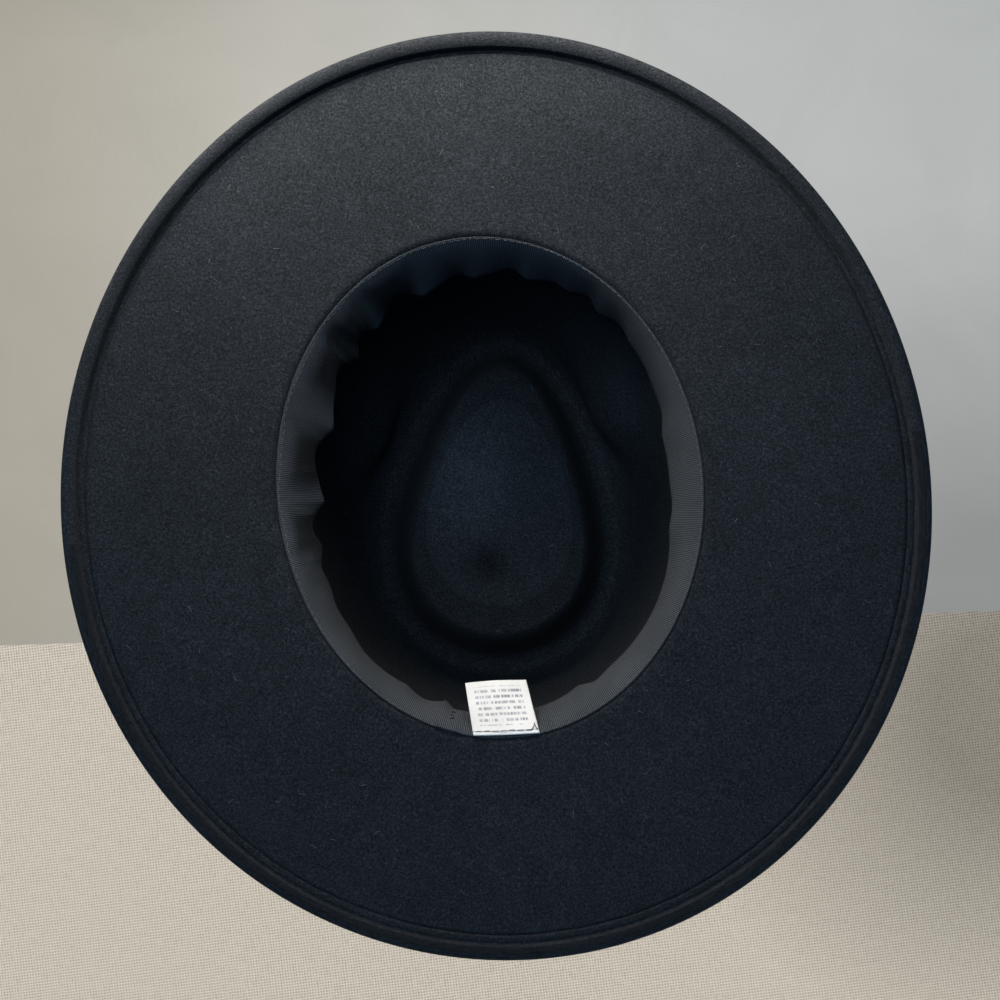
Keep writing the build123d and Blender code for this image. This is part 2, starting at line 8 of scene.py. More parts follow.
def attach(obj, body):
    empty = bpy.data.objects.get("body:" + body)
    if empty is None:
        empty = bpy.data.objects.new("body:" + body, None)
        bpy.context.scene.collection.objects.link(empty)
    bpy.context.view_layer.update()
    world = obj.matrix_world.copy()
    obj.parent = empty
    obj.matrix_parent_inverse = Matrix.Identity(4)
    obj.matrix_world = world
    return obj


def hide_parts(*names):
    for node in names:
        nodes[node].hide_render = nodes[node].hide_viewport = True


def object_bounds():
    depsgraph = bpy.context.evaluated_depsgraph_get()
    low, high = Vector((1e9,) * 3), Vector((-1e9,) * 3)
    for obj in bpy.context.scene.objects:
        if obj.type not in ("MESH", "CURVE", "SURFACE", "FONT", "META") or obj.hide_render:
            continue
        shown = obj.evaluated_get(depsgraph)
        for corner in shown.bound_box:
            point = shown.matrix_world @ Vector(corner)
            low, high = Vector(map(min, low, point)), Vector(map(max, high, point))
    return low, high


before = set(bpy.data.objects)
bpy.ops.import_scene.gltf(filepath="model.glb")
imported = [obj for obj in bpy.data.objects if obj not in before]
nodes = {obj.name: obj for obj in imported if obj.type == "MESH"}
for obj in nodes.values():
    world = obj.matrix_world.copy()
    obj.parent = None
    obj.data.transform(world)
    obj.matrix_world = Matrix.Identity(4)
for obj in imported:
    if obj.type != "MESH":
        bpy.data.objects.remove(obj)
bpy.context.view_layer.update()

# A wide-brimmed felt hat, seen from underneath. Sizes are in millimetres here and in metres in Blender.
# t is the turn round the hat: 0 at its front, growing towards the picture's right.
# The sizes are those of the CAD source, apart from the dent's, which is steeper here.
MM = 0.001
PI = math.pi

FELT = 2.2
OPENING_LENGTH = 200.4
OPENING_WIDTH = 169.6
OPENING_X = -2.3
OPENING_Y = -1.9
BREAK_RADIUS = 4.0
BREAK_INSET = 1.5
BRIM_LENGTH = 367.0
BRIM_WIDTH = 342.5
BRIM_SWELL = 0.9
BRIM_SWELL_TURN = 12.0
BRIM_RISE = 2.4
HEM_WIDTH = 9.6
HEM_GROOVE = 6.6
BEAD_RADIUS = 2.71
REST_WIDTH = 2.0
HEM_TOP = 5.42
BEAD_FELT = 1.85
BREAK_LEVEL = HEM_TOP - 0.3 * BEAD_FELT - FELT + BRIM_RISE
WALL_FOOT = BREAK_LEVEL + BREAK_RADIUS
RIDGE_LEVEL = BREAK_LEVEL + 108.0
WALL_LEAN = 0.06
WALL_FULLNESS = 0.60
SHOULDER_INSET = 0.42
CREASE_LENGTH = 158.0
CREASE_WIDTH = 108.0
CREASE_TAPER = 0.27
CREASE_TURN = 9.0
CREASE_X = 1.2
CREASE_Y = 0.8
DENT_DEPTH = 27.0
DENT_FLANK = 16.0
DENT_SHELF = 4.0
DENT_SAG = 1.5
DIMPLE_X = -8.0
DIMPLE_Y = 29.0
DIMPLE_SIZE = 9.0
DIMPLE_DEPTH = 3.0
PINCH_TURNS = (68.0, -62.0)
PINCH_SPREAD_FRONT = 24.0
PINCH_SPREAD_BACK = 15.0
PINCH_DEPTH = 13.0
PINCH_RISE = 0.60
PINCH_UP = 0.20
RIBBON_WIDTH = 25.0
RIBBON_THICKNESS = 0.6
RIBBON_SEAT = 0.12
RIBBON_LEAN = 7.0
RIBBON_ROLL = 0.48
RIBBON_TURN = math.acos(1 - BREAK_INSET / BREAK_RADIUS)
LAP_TURN = 200.0
LAP_BEFORE = 1.4
LAP_OVER = 5.0
RIB_PITCH = 0.76
LABEL_WIDTH = 26.0
LABEL_HEIGHT = 25.0
LABEL_TURN = 184.6
LABEL_LEAN = 50.0
LABEL_CLEARANCE = 0.65
LABEL_RULE_PITCH = 2.7
LABEL_MARGIN = 3.0
LABEL_SEAM = 1.7

# The folded edge, which differs between the hat's front and back
LIP_LEVEL = 2.42
LIP_FRONT = 0.42
GROOVE_DEPTH = 0.35
REST_MORE = 0.95
REST_FRONT = 1.15
HEM_FRONT = 0.5
SEAM_FRONT = 0.8
# Painted light: soft patches inside the crown whose colour is made paler, where light falls: (middle, half
# sizes, strength)
PAINTED_LIGHT_PATCHES = [((-11, -13), (20, 28), 1.0), ((72, -42), (18, 30), 1.2)]

rng = np.random.default_rng(11)


# ---------------------------------------------------------------- shapes


def opening_edge(t, grow):
    """The oval of the head opening, made larger by grow."""
    x = OPENING_X + (OPENING_WIDTH / 2 + grow) * np.sin(t)
    y = OPENING_Y - (OPENING_LENGTH / 2 + grow) * np.cos(t)
    return x, y


def brim_edge(t, inset):
    """The brim's outline, made smaller by inset."""
    swell = BRIM_SWELL * np.cos(3 * (t - math.radians(BRIM_SWELL_TURN)))
    x = (BRIM_WIDTH / 2 + swell - inset) * np.sin(t)
    y = -(BRIM_LENGTH / 2 + swell - inset) * np.cos(t)
    return x, y


def crease_edge(t):
    """The teardrop ridge round the dent, as seen in plan."""
    turn = math.radians(CREASE_TURN)
    around = t - turn
    across = CREASE_WIDTH / 2 * np.sin(around) * (1 - CREASE_TAPER * np.cos(around))
    along = -CREASE_LENGTH / 2 * np.cos(around)
    x = CREASE_X + across * math.cos(turn) - along * math.sin(turn)
    y = CREASE_Y + across * math.sin(turn) + along * math.cos(turn)
    return x, y


def turn_between(t, degrees):
    """The turn from a place in degrees to t, between -180 and 180."""
    return (np.degrees(t) - degrees + 180) % 360 - 180


def dimple(x, y):
    return np.exp(-((x - DIMPLE_X) ** 2 + (y - DIMPLE_Y) ** 2) / DIMPLE_SIZE**2)


def dent_point(t, s):
    x, y = crease_edge(t)
    reach = np.hypot(x - CREASE_X, y - CREASE_Y)
    inward = np.clip(((1 - s) * reach - DENT_SHELF) / DENT_FLANK, 0, 1)
    fall = inward**3 * (inward * (6 * inward - 15) + 10)
    sag = (1 - s * s) ** 3
    x = CREASE_X + (x - CREASE_X) * s
    y = CREASE_Y + (y - CREASE_Y) * s
    return x, y, RIDGE_LEVEL - DENT_DEPTH * fall - DENT_SAG * sag + DIMPLE_DEPTH * dimple(x, y)


def pinch_push(t, w):
    """How far the two front pinches press the wall in, w of the way up it."""
    push = 0
    for place in PINCH_TURNS:
        away = turn_between(t, place) * (1 if place > 0 else -1)
        spread = np.where(away > 0, PINCH_SPREAD_BACK, PINCH_SPREAD_FRONT)
        push = push + np.exp(-((away / spread) ** 2))
    return PINCH_DEPTH * push * math.exp(-(((w - PINCH_RISE) / PINCH_UP) ** 2))


def wall_point(t, w):
    inset = 3 * (1 - w) ** 2 * w * WALL_LEAN + 3 * (1 - w) * w**2 * SHOULDER_INSET + w**3
    rise = 3 * (1 - w) ** 2 * w * WALL_FULLNESS + 3 * (1 - w) * w**2 + w**3
    foot_x, foot_y = opening_edge(t, -BREAK_INSET)
    top_x, top_y = crease_edge(t)
    push = pinch_push(t, w)
    x = foot_x + (top_x - foot_x) * inset - push * np.sin(t)
    y = foot_y + (top_y - foot_y) * inset + push * np.cos(t)
    return x, y, WALL_FOOT + (RIDGE_LEVEL - WALL_FOOT) * rise + 0 * t


def roll_point(t, turn):
    """The round break between wall and brim."""
    x, y = opening_edge(t, BREAK_RADIUS * (1 - math.cos(turn)) - BREAK_INSET)
    return x, y, WALL_FOOT - BREAK_RADIUS * math.sin(turn) + 0 * t


def brim_point(t, u):
    x0, y0 = opening_edge(t, BREAK_RADIUS - BREAK_INSET)
    x1, y1 = brim_edge(t, HEM_WIDTH)
    z = BREAK_LEVEL - BRIM_RISE * (3 * u * u - 2 * u**3) + 0 * t
    return x0 + (x1 - x0) * u, y0 + (y1 - y0) * u, z


def inner_point(t, s):
    """The felt's inner face, with s from the dent's middle at 0 to the hem at 4.

    The dent ends at 1, the wall at 2 and the roll into the brim at 3.
    """
    if s <= 1:
        return np.stack(dent_point(t, s), -1)
    if s <= 2:
        return np.stack(wall_point(t, 2 - s), -1)
    if s <= 3:
        return np.stack(roll_point(t, (s - 2) * PI / 2), -1)
    return np.stack(brim_point(t, s - 3), -1)


def surface_normal(t, s, step=0.002):
    """The direction out of the crown's far side: from the felt's inner surface to its outer one."""
    ahead = inner_point(t, min(s + step, 4))
    behind = inner_point(t, max(s - step, 0.001))
    left = inner_point(t + step, s)
    right = inner_point(t - step, s)
    normal = np.cross(ahead - behind, left - right)
    return normal / np.linalg.norm(normal, axis=-1, keepdims=True)


def outer_point(t, s):
    return inner_point(t, s) + surface_normal(t, s) * FELT


# Where the ribbon leans further into the opening: (turn in degrees, mm, half width in degrees)
LEANS = [(-65, 7.5, 40), (-5, 3.0, 20), (50, -2.5, 18), (95, 4.0, 22), (160, 1.8, 25), (-135, -0.8, 20)]
# Folds that point into the opening along the ribbon's free edge, in the same terms. Their places were
# picked in the photo and worked out as turns; how deep and wide they are was chosen.
FOLDS = [
    (-156.6, 1.8, 3.2), (-144.7, 1.3, 5.0), (-123, 0.6, 6.0), (-110, 0.6, 5.0), (-99.6, 1.6, 4.0),
    (-87.6, 4.2, 5.0), (-66.4, 4.4, 6.5), (-43.4, 4.4, 5.5), (-32, 3.8, 5.0), (-13.8, 4.2, 6.0),
    (3.8, 2.4, 4.5), (20.8, 2.6, 4.5), (33, 1.0, 4.0), (43.8, 2.6, 4.0), (56, 1.2, 4.5),
    (82, 1.2, 5.0), (107, 1.0, 5.0), (160.7, 1.5, 4.5),
]
# The ribbon is slack round this turn, in degrees, and turns upright later there
SLACK_TURN = -62
SLACK_SPREAD = 62
ROLL_SLACK = 0.62
# How peaked a fold is, and how far the ribbon lies back between folds
FOLD_POINT = 1.35
FOLD_STEP = 0.9


def ribbon_lean(t):
    lean = RIBBON_LEAN
    for place, amount, width in LEANS:
        lean = lean + amount * np.exp(-((turn_between(t, place) / width) ** 2))
    return lean


def fold_depth(t):
    """How far the free edge stands into the opening: each fold has a shallower hollow before it."""
    depth = 0
    for place, amount, width in FOLDS:
        away = turn_between(t, place)
        depth = depth + amount * np.exp(-((np.abs(away) / width) ** FOLD_POINT))
        depth = depth - 0.85 * amount * np.exp(-(((away + 1.15 * width) / (0.8 * width)) ** 2))
    return depth


def ribbon_slack(t):
    return np.exp(-((turn_between(t, SLACK_TURN) / SLACK_SPREAD) ** 4))


def ribbon_roll(t):
    """Where between the sewn edge and the free one the ribbon turns upright: lower on the folds' crests."""
    crest = np.clip(fold_depth(t) / 3.0, 0, 1)
    return RIBBON_ROLL + ROLL_SLACK * ribbon_slack(t) * (1 - crest)


def ribbon_painted_shade(t, v):
    """Painted shade: how much the slack ribbon is darkened beside each fold on the left and front, where it
    bows away from the light.
    """
    hollow_shade = 0
    for place, amount, width in FOLDS:
        away = turn_between(t, place) + 1.45 * width
        hollow_shade = hollow_shade + min(amount / 4, 1) * np.exp(-((away / (1.25 * width)) ** 4))
    rise = min(max((v - 0.06) / 0.26, 0), 1)
    return np.clip(hollow_shade, 0, 1) * ribbon_slack(t) * rise * rise * (3 - 2 * rise)


def ribbon_section(t, v, layer):
    """How far out of the opening's edge and how high the ribbon lies, v of the way up from its sewn edge."""
    lean = ribbon_lean(t)
    inner = lean + (fold_depth(t) - FOLD_STEP) * v**0.6
    height = (RIBBON_WIDTH**2 - lean**2) ** 0.5
    away = RIBBON_SEAT + RIBBON_THICKNESS * layer
    start_in = ribbon_roll(t) * lean
    start_up = start_in / math.tan(RIBBON_TURN)
    inward = 2 * (1 - v) * v * start_in + v * v * inner
    upward = 2 * (1 - v) * v * start_up + v * v * height
    slope_in = (1 - 2 * v) * start_in + v * lean
    slope_up = (1 - 2 * v) * start_up + v * height
    size = np.hypot(slope_in, slope_up)
    z = WALL_FOOT - BREAK_RADIUS * math.sin(RIBBON_TURN) + upward - away * slope_in / size
    return -inward - away * slope_up / size, z


def ribbon_point(t, v, layer):
    grow, z = ribbon_section(t, v, layer)
    x, y = opening_edge(t, grow)
    return np.stack([x, y, z + 0 * t], -1)


# ---------------------------------------------------------------- meshes


def mesh_object(name, points, faces, smooth=True):
    mesh = bpy.data.meshes.new(name)
    mesh.from_pydata([tuple(p) for p in np.asarray(points) * MM], [], faces)
    mesh.update()
    if smooth:
        mesh.shade_smooth()
    obj = bpy.data.objects.new(name, mesh)
    bpy.context.scene.collection.objects.link(obj)
    return obj


def add_attribute(obj, name, values):
    attribute = obj.data.attributes.new(name, "FLOAT", "POINT")
    attribute.data.foreach_set("value", np.asarray(values, np.float32))


def ring_faces(rows, columns):
    faces = []
    for i in range(rows - 1):
        for j in range(columns):
            k = (j + 1) % columns
            faces.append((i * columns + j, i * columns + k, (i + 1) * columns + k, (i + 1) * columns + j))
    return faces


def slab_faces(rows, columns):
    """The two sides and four edges of a thin sheet, whose second side's points follow its first side's."""
    n = rows * columns
    faces = []
    for i in range(rows - 1):
        for j in range(columns - 1):
            a, b = i * columns + j, (i + 1) * columns + j
            faces.append((a, b, b + 1, a + 1))
            faces.append((n + a, n + a + 1, n + b + 1, n + b))
    for j in range(columns - 1):
        faces.append((j, j + 1, n + j + 1, n + j))
        k = (rows - 1) * columns + j
        faces.append((k, n + k, n + k + 1, k + 1))
    for i in range(rows - 1):
        a, b = i * columns, (i + 1) * columns
        faces.append((a, n + a, n + b, b))
        a, b = a + columns - 1, b + columns - 1
        faces.append((a, b, n + b, n + a))
    return faces


def curve_through(points, count):
    """A smooth profile through a few points, count steps a span."""
    pts = np.array(points, float)
    ext = np.vstack([2 * pts[0] - pts[1], pts, 2 * pts[-1] - pts[-2]])
    out = []
    for i in range(len(pts) - 1):
        p0, p1, p2, p3 = ext[i : i + 4]
        for j in range(count):
            x = j / count
            square = (2 * p0 - 5 * p1 + 4 * p2 - p3) * x**2
            cube = (3 * p1 - p0 - 3 * p2 + p3) * x**3
            out.append(0.5 * (2 * p1 + (p2 - p0) * x + square + cube))
    out.append(pts[-1])
    return out


def wave(t, seeds, size):
    """A slow uneven wave round the hat, the same each run."""
    total = 0 * t
    for k, (amount, phase) in enumerate(seeds):
        total = total + amount * np.sin((k + 1) * t + phase)
    return total * size


# How the fold's raw edge wanders: (size, phase) of each wave
HEM_WAVES = [(0.5, 0.4), (0.8, 2.1), (0.4, 5.0), (0.5, 1.2), (0.3, 3.3), (0.3, 0.2), (0.35, 4.0), (0.2, 2.2)]


def front_share(t):
    """1 at the front of the brim, falling to 0 at its back."""
    return (0.5 + 0.5 * np.cos(t)) ** 1.5


def hem_lip(t):
    """The level of the fold's pressed free part: nearly flush with the brim, and deeper at the front."""
    return LIP_LEVEL + LIP_FRONT * np.cos(t)


def crown_painted_shade(s):
    """Painted shade inside the crown: full on its walls and the dent's flank, slight on the dent's floor and
    its ridge, fading out through the roll into the brim.
    """
    if s < 0.6:
        return 0.1
    return min(max((3 - s) / 0.9, 0), 1) * (1 - 0.9 * math.exp(-(((s - 1) / 0.05) ** 2)))


def patch(points, middle, half):
    """1 in the middle of a soft oval patch of the plan, falling to 0 outside it."""
    return np.exp(
        -((points[:, 0] - middle[0]) ** 2) / half[0] ** 2 - (points[:, 1] - middle[1]) ** 2 / half[1] ** 2
    )


def felt_steps():
    """Where the felt's rings lie between the dent's middle and the hem, closer where it bends more."""
    steps = []
    for start, end, count in ((0.04, 0.5, 12), (0.5, 1, 52), (1, 2, 76), (2, 3, 9), (3, 4, 60)):
        steps += list(np.linspace(start, end, count))[:-1]
    return steps + [4.0]


def build_felt(columns=420):
    """One closed skin: the inner face out to the hem, the folded edge, and the outer face back."""
    t = np.arange(columns) * 2 * PI / columns
    inside = felt_steps()
    rows = [inner_point(t, s) for s in inside]
    edge = wave(t * 7, HEM_WAVES, 0.10) + wave(t * 23, HEM_WAVES, 0.05)

    def hem_ring(inset, level):
        x, y = brim_edge(t, inset)
        return np.stack([x, y, level + 0 * t], -1)

    brim_under = BREAK_LEVEL - BRIM_RISE
    front = front_share(t)
    width = HEM_WIDTH - HEM_FRONT * front
    rows[-1] = hem_ring(width + edge, brim_under)
    lip = hem_lip(t)
    groove = lip + GROOVE_DEPTH
    rest = BEAD_RADIUS + REST_WIDTH + REST_MORE + REST_FRONT * front
    seam = HEM_GROOVE + SEAM_FRONT * front
    profile = [
        (width + 0.10, brim_under + 0.35),
        (width - 0.05, brim_under + 0.50),
        (width - 0.16, brim_under + 0.15),
        (width - 0.32, lip + 0.22),
        (width - 0.8, lip),
        ((width - 0.9 + seam) / 2, lip - 0.04),
        (seam + 0.5, lip + 0.06),
        (seam, groove),
        (rest + 0.45, groove * 0.85),
        (rest + 0.22, groove * 0.30),
        (rest, 0.0),
    ]
    for i, (inset, level) in enumerate(profile):
        # the raw edge's wander dies out towards the bead
        keep = max(0, 1 - i / 9)
        rows.append(hem_ring(inset + edge * keep, level))
        if i < len(profile) - 1:
            after_inset, after_level = profile[i + 1]
            for share in (1 / 3, 2 / 3):
                between = level + (after_level - level) * share
                rows.append(hem_ring(inset + (after_inset - inset) * share + edge * keep, between))
    # the bead, from the plane that the brim rests on round to the top
    rows.append(hem_ring(BEAD_RADIUS, 0.0))
    for i in range(1, 17):
        turn = PI * i / 16
        rows.append(hem_ring(BEAD_RADIUS * (1 - math.sin(turn)), BEAD_RADIUS * (1 - math.cos(turn))))
    top = curve_through(
        [
            (BEAD_RADIUS, HEM_TOP),
            ((HEM_GROOVE + BEAD_RADIUS) / 2, HEM_TOP - 0.1 * BEAD_FELT),
            (HEM_GROOVE, HEM_TOP - 0.55 * BEAD_FELT),
            ((HEM_WIDTH + HEM_GROOVE) / 2, HEM_TOP - 0.35 * BEAD_FELT),
            (HEM_WIDTH, HEM_TOP - 0.3 * BEAD_FELT),
        ],
        4,
    )
    for inset, level in top[1:]:
        rows.append(hem_ring(inset, level))
    for s in inside[-2::-1]:
        rows.append(outer_point(t, s))
    points = np.concatenate(rows)
    faces = ring_faces(len(rows), columns)
    first = rows[0].mean(0)
    last = rows[-1].mean(0)
    base = len(points)
    points = np.vstack([points, first, last])
    end = (len(rows) - 1) * columns
    for j in range(columns):
        k = (j + 1) % columns
        faces.append((base, k, j))
        faces.append((base + 1, end + j, end + k))
    obj = mesh_object("felt_hood", points, faces)
    # painted shade inside the crown
    crown_shade = [crown_painted_shade(s) for s in inside] + [0.0] * (len(rows) - len(inside))
    add_attribute(obj, "inside", list(np.repeat(crown_shade, columns)) + [0.1, 0.0])
    in_crown = points[:, 2] > WALL_FOOT
    # painted shade in the crown's dimple
    add_attribute(obj, "dimple_shade", in_crown * dimple(points[:, 0], points[:, 1]))
    # painted light: paler patches inside the crown where light falls
    painted_light = sum(strength * patch(points, middle, half) for middle, half, strength in PAINTED_LIGHT_PATCHES)
    add_attribute(obj, "painted_light", in_crown * painted_light)
    # painted shade on the fold's lip, strongest at the front, where the bead shades it
    fold_rows = len(inside) + 3 * (len(profile) - 2)
    lip_shade_strength = 0.25 + 0.75 * front
    lip_shade = [lip_shade_strength if len(inside) < i < fold_rows else 0 * t for i in range(len(rows))]
    add_attribute(obj, "lip_shade", list(np.concatenate(lip_shade)) + [0.0, 0.0])
    return obj


def build_ribbon(columns=1500, rows=22):
    """The ribbon once round the opening with its lap, and the length of its sewn edge."""
    start = math.radians(LAP_TURN - LAP_BEFORE)
    turn = 2 * PI + math.radians(LAP_OVER)
    share = np.arange(columns) / (columns - 1)
    t = start + turn * share
    # the last stretch lies over the first, its end turned under
    lift = 0.9 * np.clip((share - (1 - 0.020)) / 0.006, 0, 1)
    x, y = opening_edge(t, 0.0)
    step = np.hypot(np.diff(x), np.diff(y))
    along = np.concatenate([[0], np.cumsum(step)])
    levels = np.linspace(0, 1, rows)
    points, rib, across, hollow_shade = [], [], [], []
    for layer in (0.15, 0.85):
        for v in levels:
            row = ribbon_point(t, v, layer + lift / RIBBON_THICKNESS * 0.9)
            points.append(row)
            rib.append(along)
            across.append(0 * along + v * RIBBON_WIDTH)
            hollow_shade.append(ribbon_painted_shade(t, v))
    obj = mesh_object("sweatband_ribbon", np.concatenate(points), slab_faces(rows, columns))
    add_attribute(obj, "rib_along", np.concatenate(rib))
    add_attribute(obj, "rib_across", np.concatenate(across))
    # the painted shade in the hollows beside the folds
    add_attribute(obj, "hollow_shade", np.concatenate(hollow_shade))
    return obj, along[-1]


# Turns of a thread's plies per mm
PLY_TURNS = 1.9


def threads(name, paths, radius, sides=7):
    """Round threads along short open paths, closed at both ends."""
    points, faces, along = [], [], []
    for path in paths:
        path = np.asarray(path, float)
        ways = np.gradient(path, axis=0)
        ways /= np.linalg.norm(ways, axis=1, keepdims=True)
        guide = np.array([0.0, 0.0, 1.0]) if abs(ways[0][2]) < 0.8 else np.array([1.0, 0.0, 0.0])
        side = np.cross(ways, guide)
        side /= np.linalg.norm(side, axis=1, keepdims=True)
        up = np.cross(side, ways)
        base = len(points)
        reach = np.concatenate([[0], np.cumsum(np.linalg.norm(np.diff(path, axis=0), axis=1))])
        for i in range(len(path)):
            for k in range(sides):
                turn = 2 * PI * k / sides
                points.append(path[i] + radius * (side[i] * math.cos(turn) + up[i] * math.sin(turn)))
                along.append(reach[i] * PLY_TURNS + k / sides)
        for i in range(len(path) - 1):
            for k in range(sides):
                m = (k + 1) % sides
                a = base + i * sides
                faces.append((a + k, a + m, a + sides + m, a + sides + k))
        faces.append(tuple(base + k for k in range(sides - 1, -1, -1)))
        faces.append(tuple(base + (len(path) - 1) * sides + k for k in range(sides)))
    obj = mesh_object(name, points, faces)
    add_attribute(obj, "ply", along)
    return obj


def stitch_path(centre, along, out, length, height, dip, count=9):
    """One stitch: up out of the cloth, along it and down into it."""
    path = []
    for i in range(count):
        x = -1 + 2 * i / (count - 1)
        rise = height * (1 - abs(x) ** 4) - dip * abs(x) ** 4
        path.append(centre + along * x * length / 2 + out * rise)
    return path


def unit(v):
    return v / np.linalg.norm(v, axis=-1, keepdims=True)


# ---------------------------------------------------------------- materials


class Shader:
    """A node tree with short calls."""

    def __init__(self, name):
        self.mat = bpy.data.materials.new(name)
        self.mat.use_nodes = True
        self.tree = self.mat.node_tree
        self.bsdf = self.tree.nodes["Principled BSDF"]

    def node(self, kind, **values):
        made = self.tree.nodes.new(kind)
        for key, value in values.items():
            setattr(made, key, value)
        return made

    def link(self, a, b):
        self.tree.links.new(a, b)

    def set(self, **values):
        for key, value in values.items():
            self.bsdf.inputs[key.replace("_", " ")].default_value = value

    def coords(self):
        return self.node("ShaderNodeTexCoord").outputs["Object"]

    def scaled(self, vector, scale):
        made = self.node("ShaderNodeMapping")
        made.inputs["Scale"].default_value = scale
        self.link(vector, made.inputs["Vector"])
        return made.outputs["Vector"]

    def noise(self, vector, scale, detail=3.0, rough=0.55, distortion=0.0):
        made = self.node("ShaderNodeTexNoise")
        made.inputs["Scale"].default_value = scale
        made.inputs["Detail"].default_value = detail
        made.inputs["Roughness"].default_value = rough
        made.inputs["Distortion"].default_value = distortion
        self.link(vector, made.inputs["Vector"])
        return made.outputs["Fac"]

    def voronoi(self, vector, scale, feature="F1"):
        made = self.node("ShaderNodeTexVoronoi", feature=feature)
        made.inputs["Scale"].default_value = scale
        self.link(vector, made.inputs["Vector"])
        return made.outputs["Distance"]

    def ramp(self, value, stops):
        made = self.node("ShaderNodeValToRGB")
        ramp = made.color_ramp
        while len(ramp.elements) < len(stops):
            ramp.elements.new(0.5)
        for element, (place, colour) in zip(ramp.elements, stops):
            element.position = place
            element.color = (*colour, 1)
        self.link(value, made.inputs["Fac"])
        return made.outputs["Color"]

    def math(self, operation, a, b=None):
        made = self.node("ShaderNodeMath", operation=operation)
        for i, value in enumerate((a, b)):
            if value is None:
                continue
            if isinstance(value, (int, float)):
                made.inputs[i].default_value = value
            else:
                self.link(value, made.inputs[i])
        return made.outputs[0]

    def range(self, value, low, high, to_low, to_high):
        made = self.node("ShaderNodeMapRange")
        for key, number in zip(("From Min", "From Max", "To Min", "To Max"), (low, high, to_low, to_high)):
            made.inputs[key].default_value = number
        self.link(value, made.inputs["Value"])
        return made.outputs["Result"]

    def mix(self, factor, a, b, blend="MIX"):
        made = self.node("ShaderNodeMix", data_type="RGBA", blend_type=blend)
        for key, value in ((0, factor), (6, a), (7, b)):
            if isinstance(value, (int, float)):
                made.inputs[key].default_value = value
            elif isinstance(value, tuple):
                made.inputs[key].default_value = (*value, 1)
            else:
                self.link(value, made.inputs[key])
        return made.outputs[2]

    def bump(self, height, strength, distance, before=None):
        made = self.node("ShaderNodeBump")
        made.inputs["Strength"].default_value = strength
        made.inputs["Distance"].default_value = distance
        self.link(height, made.inputs["Height"])
        if before is not None:
            self.link(before, made.inputs["Normal"])
        return made.outputs["Normal"]

    def grey(self, value):
        made = self.node("ShaderNodeCombineColor")
        for key in ("Red", "Green", "Blue"):
            self.link(value, made.inputs[key])
        return made.outputs["Color"]

    def attribute(self, name):
        return self.node("ShaderNodeAttribute", attribute_name=name).outputs["Fac"]

    def vector(self, operation, a, b=None):
        """A plain number from one or two directions: a length or a dot product."""
        made = self.node("ShaderNodeVectorMath", operation=operation)
        self.link(a, made.inputs[0])
        if b is not None:
            made.inputs[1].default_value = b
        return made.outputs["Value"]


class WorldShader(Shader):
    def __init__(self, world):
        world.use_nodes = True
        self.tree = world.node_tree
        self.background = self.tree.nodes["Background"]


def paint(obj, mat):
    obj.data.materials.clear()
    obj.data.materials.append(mat)


def felt_material():
    s = Shader("black_wool_felt")
    at = s.coords()
    fibres = s.noise(at, 2300, 4.0, 0.75, 0.6)
    nap = s.noise(at, 1050, 3.0, 0.65, 0.4)
    mottle = s.noise(at, 120, 3.0, 0.6)
    wide = s.noise(at, 14, 3.0, 0.5)
    grain = s.math("ADD", s.math("MULTIPLY", fibres, 0.55), s.math("MULTIPLY", nap, 0.45))
    dark, mid, light = (0.0058, 0.0064, 0.0075), (0.0168, 0.0186, 0.0208), (0.052, 0.057, 0.062)
    base = s.ramp(grain, [(0.36, dark), (0.50, mid), (0.66, light)])
    tone = s.math("MULTIPLY", s.range(mottle, 0.3, 0.7, 0.90, 1.10), s.range(wide, 0.3, 0.7, 0.92, 1.08))
    # painted shade and light: the felt is darkened inside the crown (little on its floor and ridge), in the
    # dimple and on the fold's lip, and made paler in patches where light falls
    for where, full in (("inside", 0.72), ("dimple_shade", 0.45), ("painted_light", 1.9), ("lip_shade", 0.90)):
        tone = s.math("MULTIPLY", tone, s.range(s.attribute(where), 0.0, 1.0, 1.0, full))
    colour = s.mix(1.0, base, s.grey(tone), "MULTIPLY")
    specks = s.range(s.voronoi(at, 230), 0.03, 0.07, 1.0, 0.0)
    some = s.range(s.noise(at, 95, 1.0), 0.60, 0.64, 0.0, 1.0)
    colour = s.mix(s.math("MULTIPLY", s.math("MULTIPLY", specks, some), 0.75), colour, (0.12, 0.12, 0.125))
    s.link(colour, s.bsdf.inputs["Base Color"])
    first = s.bump(nap, 0.7, 0.0005)
    second = s.bump(fibres, 0.8, 0.00025, first)
    s.link(second, s.bsdf.inputs["Normal"])
    s.set(Roughness=0.95, Specular_IOR_Level=0.05, Sheen_Weight=0.02, Sheen_Roughness=0.6)
    s.bsdf.inputs["Sheen Tint"].default_value = (0.60, 0.64, 0.70, 1)
    return s.mat


